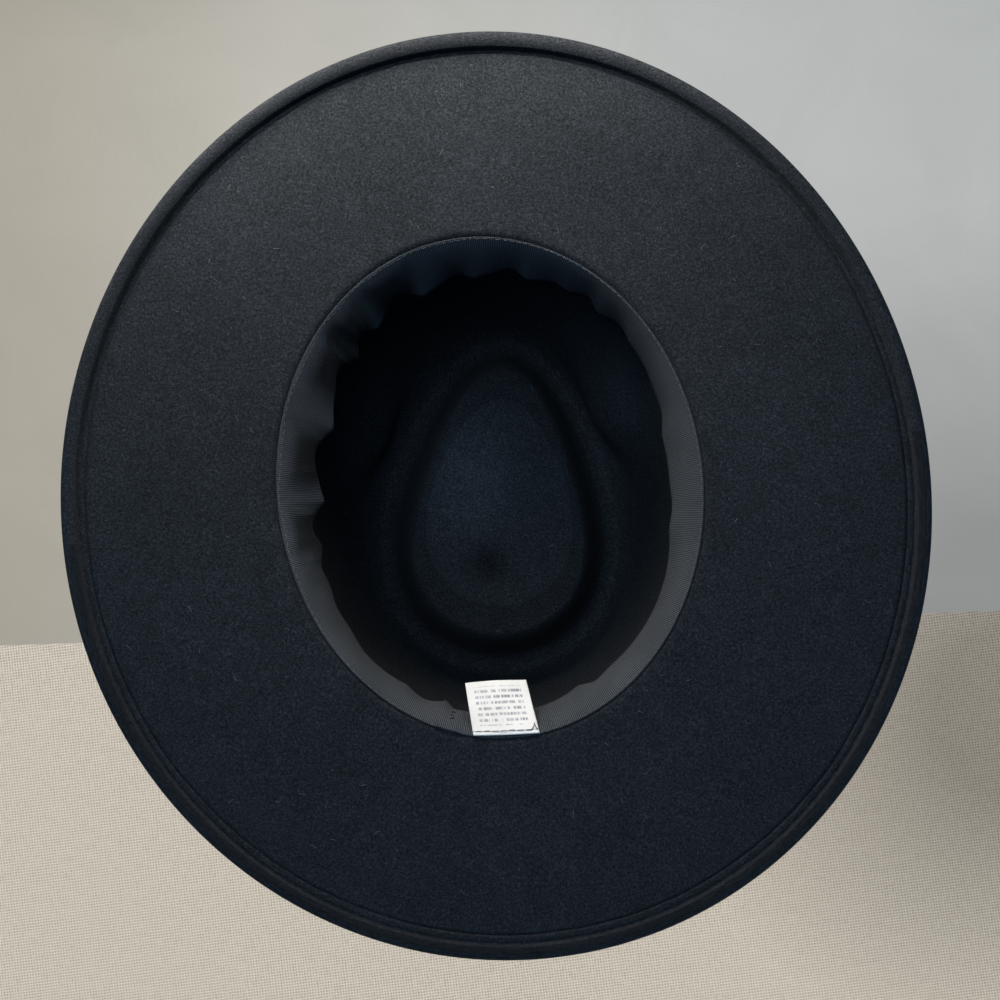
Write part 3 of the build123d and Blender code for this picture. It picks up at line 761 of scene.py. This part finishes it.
def ribbon_material():
    s = Shader("charcoal_grosgrain")
    along = s.attribute("rib_along")
    across = s.attribute("rib_across")
    at = s.coords()
    jitter = s.math("MULTIPLY", s.noise(at, 160, 2.0), 0.35)
    rib = s.math("SINE", s.math("MULTIPLY", s.math("ADD", along, jitter), 2 * PI / RIB_PITCH))
    height = s.range(rib, -1, 1, 0, 1)
    weave = s.math("SINE", s.math("MULTIPLY", across, 2 * PI / 0.34))
    odd = s.math("SINE", s.math("MULTIPLY", along, PI / RIB_PITCH))
    warp = s.range(s.math("MULTIPLY", weave, odd), -1, 1, 0, 1)
    cloud = s.noise(at, 30, 3.0)
    fuzz = s.noise(at, 1300, 3.0, 0.7)
    shade = s.math("ADD", s.math("MULTIPLY", height, 0.50), s.math("MULTIPLY", warp, 0.20))
    shade = s.math("ADD", shade, s.math("MULTIPLY", fuzz, 0.30))
    low, mid, high = (0.010, 0.0115, 0.0135), (0.038, 0.0415, 0.046), (0.098, 0.106, 0.114)
    base = s.ramp(shade, [(0.22, low), (0.50, mid), (0.80, high)])
    colour = s.mix(1.0, base, s.grey(s.range(cloud, 0.3, 0.7, 0.86, 1.14)), "MULTIPLY")
    # painted shade: the colour is darkened in the hollows beside the folds, where they take less light
    hollow_shade = s.range(s.attribute("hollow_shade"), 0.0, 1.0, 1.0, 0.16)
    colour = s.mix(1.0, colour, s.grey(hollow_shade), "MULTIPLY")
    # the woven selvedges are denser
    near = s.range(across, 0.0, 1.0, 1.0, 0.0)
    far = s.range(across, RIBBON_WIDTH - 0.9, RIBBON_WIDTH - 0.2, 0.0, 1.0)
    colour = s.mix(s.math("MULTIPLY", near, 0.35), colour, (0.018, 0.0185, 0.020))
    colour = s.mix(s.math("MULTIPLY", far, 0.45), colour, (0.055, 0.057, 0.062))
    s.link(colour, s.bsdf.inputs["Base Color"])
    first = s.bump(height, 0.9, 0.00025)
    second = s.bump(warp, 0.35, 0.00010, first)
    third = s.bump(fuzz, 0.25, 0.00010, second)
    s.link(third, s.bsdf.inputs["Normal"])
    s.set(Roughness=0.80, Specular_IOR_Level=0.15, Sheen_Weight=0.03, Sheen_Roughness=0.5)
    s.bsdf.inputs["Sheen Tint"].default_value = (0.62, 0.66, 0.72, 1)
    return s.mat


def thread_material(name, dark, light):
    s = Shader(name)
    ply = s.attribute("ply")
    height = s.range(s.math("SINE", s.math("MULTIPLY", ply, 2 * PI)), -1, 1, 0, 1)
    fuzz = s.noise(s.coords(), 1800, 2.0)
    shade = s.math("ADD", s.math("MULTIPLY", height, 0.7), s.math("MULTIPLY", fuzz, 0.3))
    s.link(s.ramp(shade, [(0.15, dark), (0.85, light)]), s.bsdf.inputs["Base Color"])
    s.link(s.bump(height, 0.6, 0.00012), s.bsdf.inputs["Normal"])
    s.set(Roughness=0.75, Specular_IOR_Level=0.35, Sheen_Weight=0.3, Sheen_Roughness=0.5)
    return s.mat


def cad_thread_material(name, dark, light):
    """For threads that keep their CAD shape, where no ply attribute is stored."""
    s = Shader(name)
    at = s.coords()
    fuzz = s.noise(at, 1500, 3.0)
    twist = s.node("ShaderNodeTexWave", bands_direction="DIAGONAL")
    twist.inputs["Scale"].default_value = 900
    twist.inputs["Distortion"].default_value = 1.0
    s.link(at, twist.inputs["Vector"])
    s.link(s.ramp(fuzz, [(0.3, dark), (0.7, light)]), s.bsdf.inputs["Base Color"])
    s.link(s.bump(twist.outputs["Fac"], 0.5, 0.0001), s.bsdf.inputs["Normal"])
    s.set(Roughness=0.75, Specular_IOR_Level=0.35)
    return s.mat


def satin_material():
    s = Shader("white_label_satin")
    u = s.attribute("label_u")
    v = s.attribute("label_v")
    at = s.coords()
    fine = s.math("SINE", s.math("MULTIPLY", v, 2 * PI / 0.16))
    slub = s.noise(at, 260, 3.0, 0.6)
    cloud = s.noise(at, 55, 3.0)
    base = s.ramp(cloud, [(0.3, (0.70, 0.655, 0.60)), (0.7, (0.80, 0.75, 0.69))])
    # plain broken rules in place of the print
    row = s.math("FRACT", s.math("DIVIDE", v, LABEL_RULE_PITCH))
    line = s.range(s.math("ABSOLUTE", s.math("SUBTRACT", row, 0.5)), 0.17, 0.30, 1.0, 0.0)
    number = s.math("FLOOR", s.math("DIVIDE", v, LABEL_RULE_PITCH))
    spread = s.node("ShaderNodeCombineXYZ")
    s.link(s.math("MULTIPLY", u, 0.55), spread.inputs["X"])
    s.link(s.math("MULTIPLY", number, 7.3), spread.inputs["Y"])
    gaps = s.range(s.noise(spread.outputs["Vector"], 1.6, 2.0), 0.44, 0.50, 0.0, 1.0)
    edge = LABEL_WIDTH / 2 - LABEL_MARGIN
    reach = s.range(s.math("ABSOLUTE", u), edge - 0.4, edge, 1.0, 0.0)
    low_end = s.range(v, 4.2, 4.4, 0.0, 1.0)
    high_end = s.range(v, LABEL_HEIGHT - 2.6, LABEL_HEIGHT - 2.4, 1.0, 0.0)
    rules = s.math("MULTIPLY", s.math("MULTIPLY", line, gaps), reach)
    rules = s.math("MULTIPLY", rules, s.math("MULTIPLY", low_end, high_end))
    worn = s.range(slub, 0.35, 0.65, 0.45, 0.9)
    colour = s.mix(s.math("MULTIPLY", rules, worn), base, (0.16, 0.16, 0.175))
    # the seam puckers the satin
    seam = s.range(s.math("ABSOLUTE", s.math("SUBTRACT", v, LABEL_SEAM)), 0.10, 0.40, 0.7, 0.0)
    colour = s.mix(seam, colour, (0.20, 0.185, 0.18))
    s.link(colour, s.bsdf.inputs["Base Color"])
    first = s.bump(s.range(fine, -1, 1, 0, 1), 0.3, 0.00006)
    second = s.bump(slub, 0.25, 0.00012, first)
    s.link(second, s.bsdf.inputs["Normal"])
    s.set(Roughness=0.48, Specular_IOR_Level=0.45, Sheen_Weight=0.15, Sheen_Roughness=0.4)
    return s.mat


def leather_material():
    s = Shader("black_imitation_leather")
    at = s.coords()
    cells = s.voronoi(at, 900, "DISTANCE_TO_EDGE")
    grain = s.range(cells, 0.0, 0.12, 0.0, 1.0)
    pores = s.noise(at, 500, 4.0, 0.6)
    cloud = s.noise(at, 60, 3.0)
    base = s.ramp(cloud, [(0.3, (0.010, 0.0095, 0.0095)), (0.7, (0.020, 0.018, 0.0175))])
    worn = s.range(s.noise(at, 130, 4.0, 0.7), 0.58, 0.75, 0.0, 0.35)
    colour = s.mix(worn, base, (0.045, 0.040, 0.037))
    s.link(colour, s.bsdf.inputs["Base Color"])
    s.link(s.range(pores, 0.3, 0.7, 0.42, 0.60), s.bsdf.inputs["Roughness"])
    first = s.bump(grain, 0.30, 0.00012)
    second = s.bump(pores, 0.25, 0.00010, first)
    s.link(second, s.bsdf.inputs["Normal"])
    s.set(Specular_IOR_Level=0.5)
    return s.mat


def metal_material(name, colour, rough):
    s = Shader(name)
    at = s.coords()
    scratch = s.noise(s.scaled(at, (1, 1, 14)), 320, 4.0, 0.65)
    tarnish = s.noise(at, 210, 4.0, 0.6)
    dark = tuple(c * 0.45 for c in colour)
    s.link(s.ramp(tarnish, [(0.34, dark), (0.56, colour)]), s.bsdf.inputs["Base Color"])
    s.link(s.range(scratch, 0.3, 0.7, rough * 0.8, rough * 1.35), s.bsdf.inputs["Roughness"])
    s.link(s.bump(scratch, 0.15, 0.00005), s.bsdf.inputs["Normal"])
    s.set(Metallic=1.0)
    return s.mat


def lint_material():
    s = Shader("pale_lint")
    fuzz = s.noise(s.coords(), 300, 2.0)
    s.link(s.ramp(fuzz, [(0.3, (0.10, 0.10, 0.10)), (0.7, (0.34, 0.34, 0.33))]), s.bsdf.inputs["Base Color"])
    s.set(Roughness=0.8, Specular_IOR_Level=0.2)
    return s.mat


# ---------------------------------------------------------------- the hat's pieces

felt = build_felt()
paint(felt, felt_material())
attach(felt, "hat")
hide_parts("felt_body")

ribbon, ribbon_length = build_ribbon()
paint(ribbon, ribbon_material())
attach(ribbon, "hat")
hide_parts("sweatband")

dark_thread = thread_material("black_thread", (0.006, 0.006, 0.007), (0.035, 0.035, 0.038))
pale_thread = thread_material("pale_thread", (0.025, 0.026, 0.028), (0.10, 0.10, 0.105))


def on_ribbon(t, v, away):
    return ribbon_point(np.asarray(t, float), v, 0.85 + away / RIBBON_THICKNESS)


def ribbon_stitches():
    paths = []
    count = 192
    for i in range(count):
        t = 2 * PI * i / count
        here = on_ribbon(t, 0.045, 0.0)
        along = unit(on_ribbon(t + 0.004, 0.045, 0.0) - on_ribbon(t - 0.004, 0.045, 0.0))
        out = unit(on_ribbon(t, 0.045, 1.0) - here)
        length = 2.1 + 0.3 * math.sin(i * 2.4)
        paths.append(stitch_path(here, along, out, length, 0.16, 0.15))
    return threads("ribbon_edge_stitches", paths, 0.14)


def lap_stitches():
    paths = []
    for i in range(3):
        t = math.radians(LAP_TURN + 0.5 * (i % 2))
        v = 0.50 + 0.15 * i
        here = on_ribbon(t, v, 1.0)
        along = unit(on_ribbon(t + 0.010 * (1 if i % 2 else -1), v + 0.03, 1.0) - here)
        out = unit(on_ribbon(t, v, 2.0) - here)
        paths.append(stitch_path(here, along, out, 2.6, 0.25, 0.3))
    return threads("ribbon_lap_stitches", paths, 0.30)


def groove_stitches():
    """The seam through the folded edge: short stitches in the groove underneath, longer ones on top."""
    paths = []
    count = 132
    for i in range(count):
        t = 2 * PI * i / count
        below = (hem_lip(t) + 0.45, HEM_GROOVE + SEAM_FRONT * front_share(t), -1.0, 3.4, 0.02)
        above = (HEM_TOP - 0.55 * BEAD_FELT, HEM_GROOVE, 1.0, 5.2, 0.10)
        for turn, (level, inset, out, length, height) in ((t, below), (t + PI / count, above)):
            x, y = brim_edge(np.array([turn - 0.002, turn, turn + 0.002]), inset)
            pts = np.stack([x, y, 0 * x + level], -1)
            along = unit(pts[2] - pts[0])
            paths.append(stitch_path(pts[1], along, np.array([0, 0, out]), length, height, 0.3))
    return threads("brim_edge_stitches", paths, 0.22)


for piece, node, slot, mat in (
    (ribbon_stitches(), "sweatband_stitches", "pale_thread", pale_thread),
    (lap_stitches(), "sweatband_lap_stitches", "dark_thread", dark_thread),
    (groove_stitches(), "hem_stitches", "dark_thread", dark_thread),
):
    paint(piece, mat)
    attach(piece, "hat")
    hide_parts(node)


# The care label: one satin tab, sewn along its lower edge


def label_axes():
    """The middle of the label's foot, and its directions along, up and out of its face."""
    t = math.radians(LABEL_TURN)

    def foot_at(turn):
        grow, z = ribbon_section(turn, 0.0, 1 + LABEL_CLEARANCE / RIBBON_THICKNESS)
        x, y = opening_edge(turn, grow)
        return np.array([x, y, z])

    edge = foot_at(t + 0.1) - foot_at(t - 0.1)
    along = unit(np.array([-edge[0], -edge[1], 0.0]))
    inward = -np.cross(np.array([0, 0, 1.0]), along)
    foot = foot_at(t) + inward * (LABEL_WIDTH / 2) ** 2 / OPENING_WIDTH
    lean = math.radians(LABEL_LEAN)
    up = inward * math.sin(lean) + np.array([0, 0, 1.0]) * math.cos(lean)
    return foot, along, up, np.cross(along, up)


def build_label(columns=40, rows=38):
    foot, along, up, face = label_axes()
    points, us, vs = [], [], []
    for layer in (0.0, 0.36):
        for j in range(rows):
            v = j / (rows - 1)
            for i in range(columns):
                u = 2 * i / (columns - 1) - 1
                # it follows the ribbon's curve at its foot, curls at its free edge and hangs askew
                bow = 0.55 * (1 - u * u) * (1 - v) - 0.5 * (1 - u * u) * v
                curl = 0.9 * v**3 * (0.6 * u + 0.5) + 0.25 * math.sin(3 * u + 2 * v)
                skew = -3.6 * v - 0.6 * v * u
                rise = v * (LABEL_HEIGHT + 0.6 * (1 + u))
                place = along * (u * LABEL_WIDTH / 2 + skew) + up * rise
                points.append(foot + place + face * (layer - bow * 0.8 + curl * 0.7 * v - 0.9 * v * (1 + u)))
                us.append(u * LABEL_WIDTH / 2)
                vs.append(v * LABEL_HEIGHT)
    obj = mesh_object("care_label_tab", points, slab_faces(rows, columns))
    add_attribute(obj, "label_u", us)
    add_attribute(obj, "label_v", vs)
    return obj


def build_label_thread():
    foot, along, up, face = label_axes()
    paths = []
    for i in range(7):
        x = 0.9 - LABEL_WIDTH / 2 + 3.3 * i + 1.2
        lift = 1.6 + 0.15 * math.sin(1.9 * i)
        paths.append(stitch_path(foot + along * x + up * lift + face * 0.2, along, face, 2.5, 0.18, 0.3))
    # the thread's loose end stands up in a loop at the seam's right end
    loop = []
    for x in np.linspace(0, 1, 14):
        side = 9.9 + 2.4 * x + 0.5 * math.sin(2 * PI * x)
        rise = math.sin(PI * x)
        loop.append(foot + along * side + up * (1.5 + 2.9 * rise) + face * (0.35 + 0.5 * rise))
    paths.append(loop)
    return threads("label_seam_thread", paths, 0.15)


label = build_label()
paint(label, satin_material())
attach(label, "label")
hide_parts("care_label")
label_thread = build_label_thread()
paint(label_thread, dark_thread)
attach(label_thread, "label")
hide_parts("label_stitches")

# Pieces that keep their CAD shape
leather = leather_material()
buckle_metal = metal_material("aged_nickel", (0.50, 0.48, 0.45), 0.32)
wire_metal = metal_material("drawn_steel_wire", (0.55, 0.55, 0.56), 0.35)
ferrule = metal_material("tinned_ferrule", (0.70, 0.70, 0.71), 0.40)
cad_thread = cad_thread_material("black_sewing_thread", (0.008, 0.008, 0.009), (0.030, 0.030, 0.032))
for node, mat in (
    ("belt_strap", leather),
    ("keeper_loop", leather),
    ("belt_fold_stitches", cad_thread),
    ("belt_tacks", cad_thread),
    ("keeper_stitches", cad_thread),
    ("buckle_frame", buckle_metal),
    ("buckle_prong", buckle_metal),
    ("brim_wire", wire_metal),
    ("wire_joiner", ferrule),
):
    paint(nodes[node], mat)


# Lint: short pale hairs on the felt


def lint(count=170, count_under=110):
    """Hairs on the felt: the first ones underneath, some of them in the crown, the others on top."""
    paths = []
    for i in range(count):
        t = rng.uniform(0, 2 * PI)
        under = i < count_under
        s = 3 + rng.uniform(0.03, 0.97) if (not under or i % 6) else rng.uniform(0.2, 1.9)
        grab = inner_point if under else outer_point
        here = grab(np.array([t]), s)[0]
        out = surface_normal(np.array([t]), s)[0] * (-1 if under else 1)
        side = unit(np.cross(out, rng.normal(size=3)))
        bend = np.cross(out, side)
        length = rng.uniform(0.7, 3.2)
        curve = rng.uniform(-0.6, 0.6) * length
        path = []
        for k in range(6):
            x = k / 5 - 0.5
            lift = 0.12 + 0.15 * abs(x)
            path.append(here + side * x * length + bend * curve * (x * x - 0.08) + out * lift)
        paths.append(path)
    return threads("lint_hairs", paths, 0.035, sides=4)


hairs = lint()
paint(hairs, lint_material())
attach(hairs, "hat")


# ---------------------------------------------------------------- camera


# The picture's right, up and depth in the hat's frame: seen from underneath, the hat stands turned
HAT_TURN = math.radians(7.69)
RIGHT = Vector((math.cos(HAT_TURN), math.sin(HAT_TURN), 0))
UP = Vector((math.sin(HAT_TURN), -math.cos(HAT_TURN), 0))
INTO = Vector((0, 0, 1))
opening_middle = Vector((OPENING_X, OPENING_Y, BREAK_LEVEL)) * MM
# metres from the opening's middle, and the slope of the line of sight, both set so that the outlines agree
CAMERA_RIGHT, CAMERA_DOWN, CAMERA_AWAY = 0.0047, 0.0350, 0.4939
SIGHT_UP, SIGHT_LEFT = 0.0585, 0.0015
eye = opening_middle + RIGHT * CAMERA_RIGHT - UP * CAMERA_DOWN - INTO * CAMERA_AWAY
look = (INTO + UP * SIGHT_UP - RIGHT * SIGHT_LEFT).normalized()
across = (RIGHT - look * RIGHT.dot(look)).normalized()
back = -look
camera_data = bpy.data.cameras.new("camera")
camera_data.sensor_width = 36
camera_data.lens = 45
camera_data.clip_start = 0.02
camera = bpy.data.objects.new("camera", camera_data)
bpy.context.scene.collection.objects.link(camera)
facing = Matrix((across, back.cross(across), back)).transposed()
camera.matrix_world = Matrix.Translation(eye) @ facing.to_4x4()
bpy.context.scene.camera = camera


# ---------------------------------------------------------------- stage

# the pale tone that everything far off runs out into
FAR_TONE = (0.74, 0.75, 0.755)
# how much of the wall's and the cloth's own tone the lamps still light
LIT_SHARE = 0.10
CLOTH_LIT_SHARE = 0.12
# metres: the wall behind the crown, the line where wall and cloth meet, and where the floor fades out
WALL_GAP = 0.002
MEETING_DROP = 0.06
FLOOR_FADE = (0.35, 1.1)


def one_sided(shader, steep_only=False):
    """The sheet shows only from its front: from behind, and to light that passes, it isn't there."""
    tree = shader.tree
    out = tree.nodes["Material Output"]
    clear = shader.node("ShaderNodeBsdfTransparent")
    seen = shader.node("ShaderNodeNewGeometry").outputs["Backfacing"]
    hide = shader.math("MAXIMUM", seen, shader.node("ShaderNodeLightPath").outputs["Is Shadow Ray"])
    if steep_only:
        facing = shader.node("ShaderNodeLayerWeight").outputs["Facing"]
        hide = shader.math("MAXIMUM", hide, shader.math("GREATER_THAN", facing, 0.5))
    made = shader.node("ShaderNodeMixShader")
    shader.link(hide, made.inputs[0])
    shader.link(shader.bsdf.outputs[0], made.inputs[1])
    shader.link(clear.outputs[0], made.inputs[2])
    shader.link(made.outputs[0], out.inputs["Surface"])
    return shader.mat


def plane(name, middle, right, up, half_right, half_up):
    corners = [(-1, -1), (1, -1), (1, 1), (-1, 1)]
    points = [(middle + right * (a * half_right) + up * (b * half_up)) / MM for a, b in corners]
    obj = mesh_object(name, [tuple(p) for p in points], [(0, 1, 2, 3)], smooth=False)
    return obj


def shaded(shader, colour, centre, reach, darkest):
    """Painted shadow: the backdrop's colour is darkened to the hat's right, where the hat keeps the window's
    light off it.
    """
    away = shader.node("ShaderNodeVectorMath", operation="SUBTRACT")
    shader.link(shader.coords(), away.inputs[0])
    away.inputs[1].default_value = centre + INTO * wall_level
    tone = shader.range(shader.vector("LENGTH", away.outputs[0]), 0.04, reach, darkest, 1.0)
    return shader.mix(1.0, colour, shader.grey(tone), "MULTIPLY")


def wall_material():
    s = Shader("painted_wall")
    at = s.coords()
    fine = s.noise(at, 260, 4.0, 0.6)
    coarse = s.noise(at, 14, 4.0, 0.55, 0.5)
    strokes = s.noise(s.scaled(at, (1.0, 0.35, 1.0)), 38, 5.0, 0.6, 1.2)
    base = s.ramp(coarse, [(0.3, (0.355, 0.365, 0.36)), (0.7, (0.385, 0.395, 0.39))])
    # warmer towards the left
    coolness = s.range(s.vector("DOT_PRODUCT", at, RIGHT), -0.24, 0.10, 0.0, 1.0)
    base = s.mix(1.0, base, s.mix(coolness, (1.00, 0.90, 0.76), (1.16, 1.16, 1.15)), "MULTIPLY")
    # painted shadow of the hat on the wall, to its right
    base = shaded(s, base, RIGHT * 0.25 - UP * 0.05, 0.20, 0.62)
    s.link(s.mix(1.0, base, (LIT_SHARE,) * 3, "MULTIPLY"), s.bsdf.inputs["Base Color"])
    s.link(base, s.bsdf.inputs["Emission Color"])
    first = s.bump(coarse, 0.5, 0.006)
    second = s.bump(strokes, 0.35, 0.0025, first)
    third = s.bump(fine, 0.3, 0.0004, second)
    s.link(third, s.bsdf.inputs["Normal"])
    s.set(Roughness=0.6, Specular_IOR_Level=0.1, Emission_Strength=1.0)
    return s


def floor_material():
    """A pale floor that runs out into the backdrop's tone with no horizon."""
    s = Shader("pale_floor")
    at = s.coords()
    cloud = s.noise(at, 3, 2.0)
    far = s.range(s.vector("LENGTH", at), *FLOOR_FADE, 0.0, 1.0)
    base = s.ramp(cloud, [(0.3, (0.70, 0.70, 0.69)), (0.7, (0.73, 0.73, 0.72))])
    s.link(s.mix(far, base, (0.0, 0.0, 0.0)), s.bsdf.inputs["Base Color"])
    s.link(s.mix(far, (0.0, 0.0, 0.0), FAR_TONE), s.bsdf.inputs["Emission Color"])
    s.set(Roughness=0.9, Specular_IOR_Level=0.0, Emission_Strength=1.0)
    return s


def linen_material():
    s = Shader("beige_linen")
    at = s.coords()
    warp = s.node("ShaderNodeTexWave", bands_direction="X")
    weft = s.node("ShaderNodeTexWave", bands_direction="Y")
    for made in (warp, weft):
        made.inputs["Scale"].default_value = 240
        made.inputs["Distortion"].default_value = 1.6
        made.inputs["Detail Scale"].default_value = 3.0
        s.link(at, made.inputs["Vector"])
    cross = s.math("MAXIMUM", warp.outputs["Fac"], weft.outputs["Fac"])
    slub = s.noise(s.scaled(at, (1.0, 0.35, 1.0)), 700, 3.0, 0.6)
    shade = s.math("ADD", s.math("MULTIPLY", cross, 0.6), s.math("MULTIPLY", slub, 0.4))
    dark, mid, light = (0.24, 0.21, 0.175), (0.43, 0.39, 0.335), (0.56, 0.52, 0.46)
    colour = s.ramp(shade, [(0.25, dark), (0.5, mid), (0.8, light)])
    colour = s.mix(1.0, colour, (1.12, 1.10, 1.06), "MULTIPLY")
    # painted shadow of the hat on the cloth, to its right
    colour = shaded(s, colour, RIGHT * 0.25 - UP * 0.10, 0.17, 0.46)
    s.link(s.mix(1.0, colour, (CLOTH_LIT_SHARE,) * 3, "MULTIPLY"), s.bsdf.inputs["Base Color"])
    s.link(colour, s.bsdf.inputs["Emission Color"])
    s.link(s.bump(shade, 0.5, 0.0005), s.bsdf.inputs["Normal"])
    s.set(Roughness=0.85, Specular_IOR_Level=0.1, Emission_Strength=1.0)
    return s


# behind the crown, seen only from below: a wall, and the cloth that the hat stands on
low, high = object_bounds()
wall_level = high[2] + WALL_GAP
slope = math.radians(2.0)
edge_right = RIGHT * math.cos(slope) + UP * math.sin(slope)
edge_up = UP * math.cos(slope) - RIGHT * math.sin(slope)
meeting = Vector((0, 0, wall_level)) - UP * MEETING_DROP
wall = plane("wall", meeting + edge_up * 1.0, edge_right, edge_up, 2.0, 1.0)
paint(wall, one_sided(wall_material(), steep_only=True))
cloth = plane("table_cloth", meeting - edge_up * 1.0, edge_right, edge_up, 2.0, 1.0)
paint(cloth, one_sided(linen_material(), steep_only=True))
for sheet in (wall, cloth):
    sheet.visible_diffuse = False
    sheet.visible_glossy = False
    sheet.visible_transmission = False
    sheet.visible_shadow = False
floor = plane("floor", Vector((0, 0, 0)), Vector((1, 0, 0)), Vector((0, 1, 0)), 4.0, 4.0)
paint(floor, one_sided(floor_material()))
floor.visible_diffuse = False


# ---------------------------------------------------------------- light


def lamp(name, place, target, size, energy, colour):
    data = bpy.data.lights.new(name, "AREA")
    data.shape = "DISK"
    data.size = size
    data.energy = energy
    data.color = colour
    obj = bpy.data.objects.new(name, data)
    bpy.context.scene.collection.objects.link(obj)
    obj.location = place
    obj.rotation_euler = (Vector(target) - Vector(place)).to_track_quat("-Z", "Y").to_euler()
    obj.visible_camera = False


# The window's light comes from below the hat's front, as in the photo
WINDOW = (1.0, 0.94, 0.87)
under = Vector((0, 0, -0.065))
lamp("window_left", under - RIGHT * 0.14 + UP * 0.25, UP * 0.08 - RIGHT * 0.05, 0.12, 1.0, WINDOW)
lamp("window_top", under + RIGHT * 0.03 + UP * 0.26, UP * 0.08, 0.12, 0.62, WINDOW)
# Three lamps above light the outside
crown = Vector((0, 0, 0.05))
lamp("key_above", (-0.9, -1.1, 1.5), crown, 1.0, 30, (1.0, 0.99, 0.97))
lamp("fill_above", (1.3, -0.6, 1.2), crown, 1.4, 12, (0.92, 0.96, 1.0))
lamp("rim_above", (0.3, 1.6, 1.0), crown, 1.0, 12, (1.0, 1.0, 1.0))

world = bpy.data.worlds.new("world")
bpy.context.scene.world = world
sky = WorldShader(world)
toward = sky.node("ShaderNodeTexCoord").outputs["Generated"]
apart = sky.node("ShaderNodeSeparateXYZ")
sky.link(toward, apart.inputs[0])
above = sky.range(apart.outputs["Z"], -0.25, 0.15, 0.0, 1.0)
colour = sky.mix(above, (0.0125, 0.075, 0.15), (0.22, 0.24, 0.25))
# a bright soft patch below the opening lights the crown's inside
patch_way = (UP * 0.16 - RIGHT * 0.20 - INTO).normalized()
rim, core = math.cos(math.radians(30)), math.cos(math.radians(8))
front = sky.range(sky.vector("DOT_PRODUCT", toward, patch_way), rim, core, 0.0, 1.0)
colour = sky.mix(front, colour, (2.25, 2.95, 3.75), "ADD")
colour = sky.mix(sky.node("ShaderNodeLightPath").outputs["Is Camera Ray"], colour, FAR_TONE)
sky.link(colour, sky.background.inputs["Color"])

bpy.context.scene.view_settings.view_transform = "Standard"
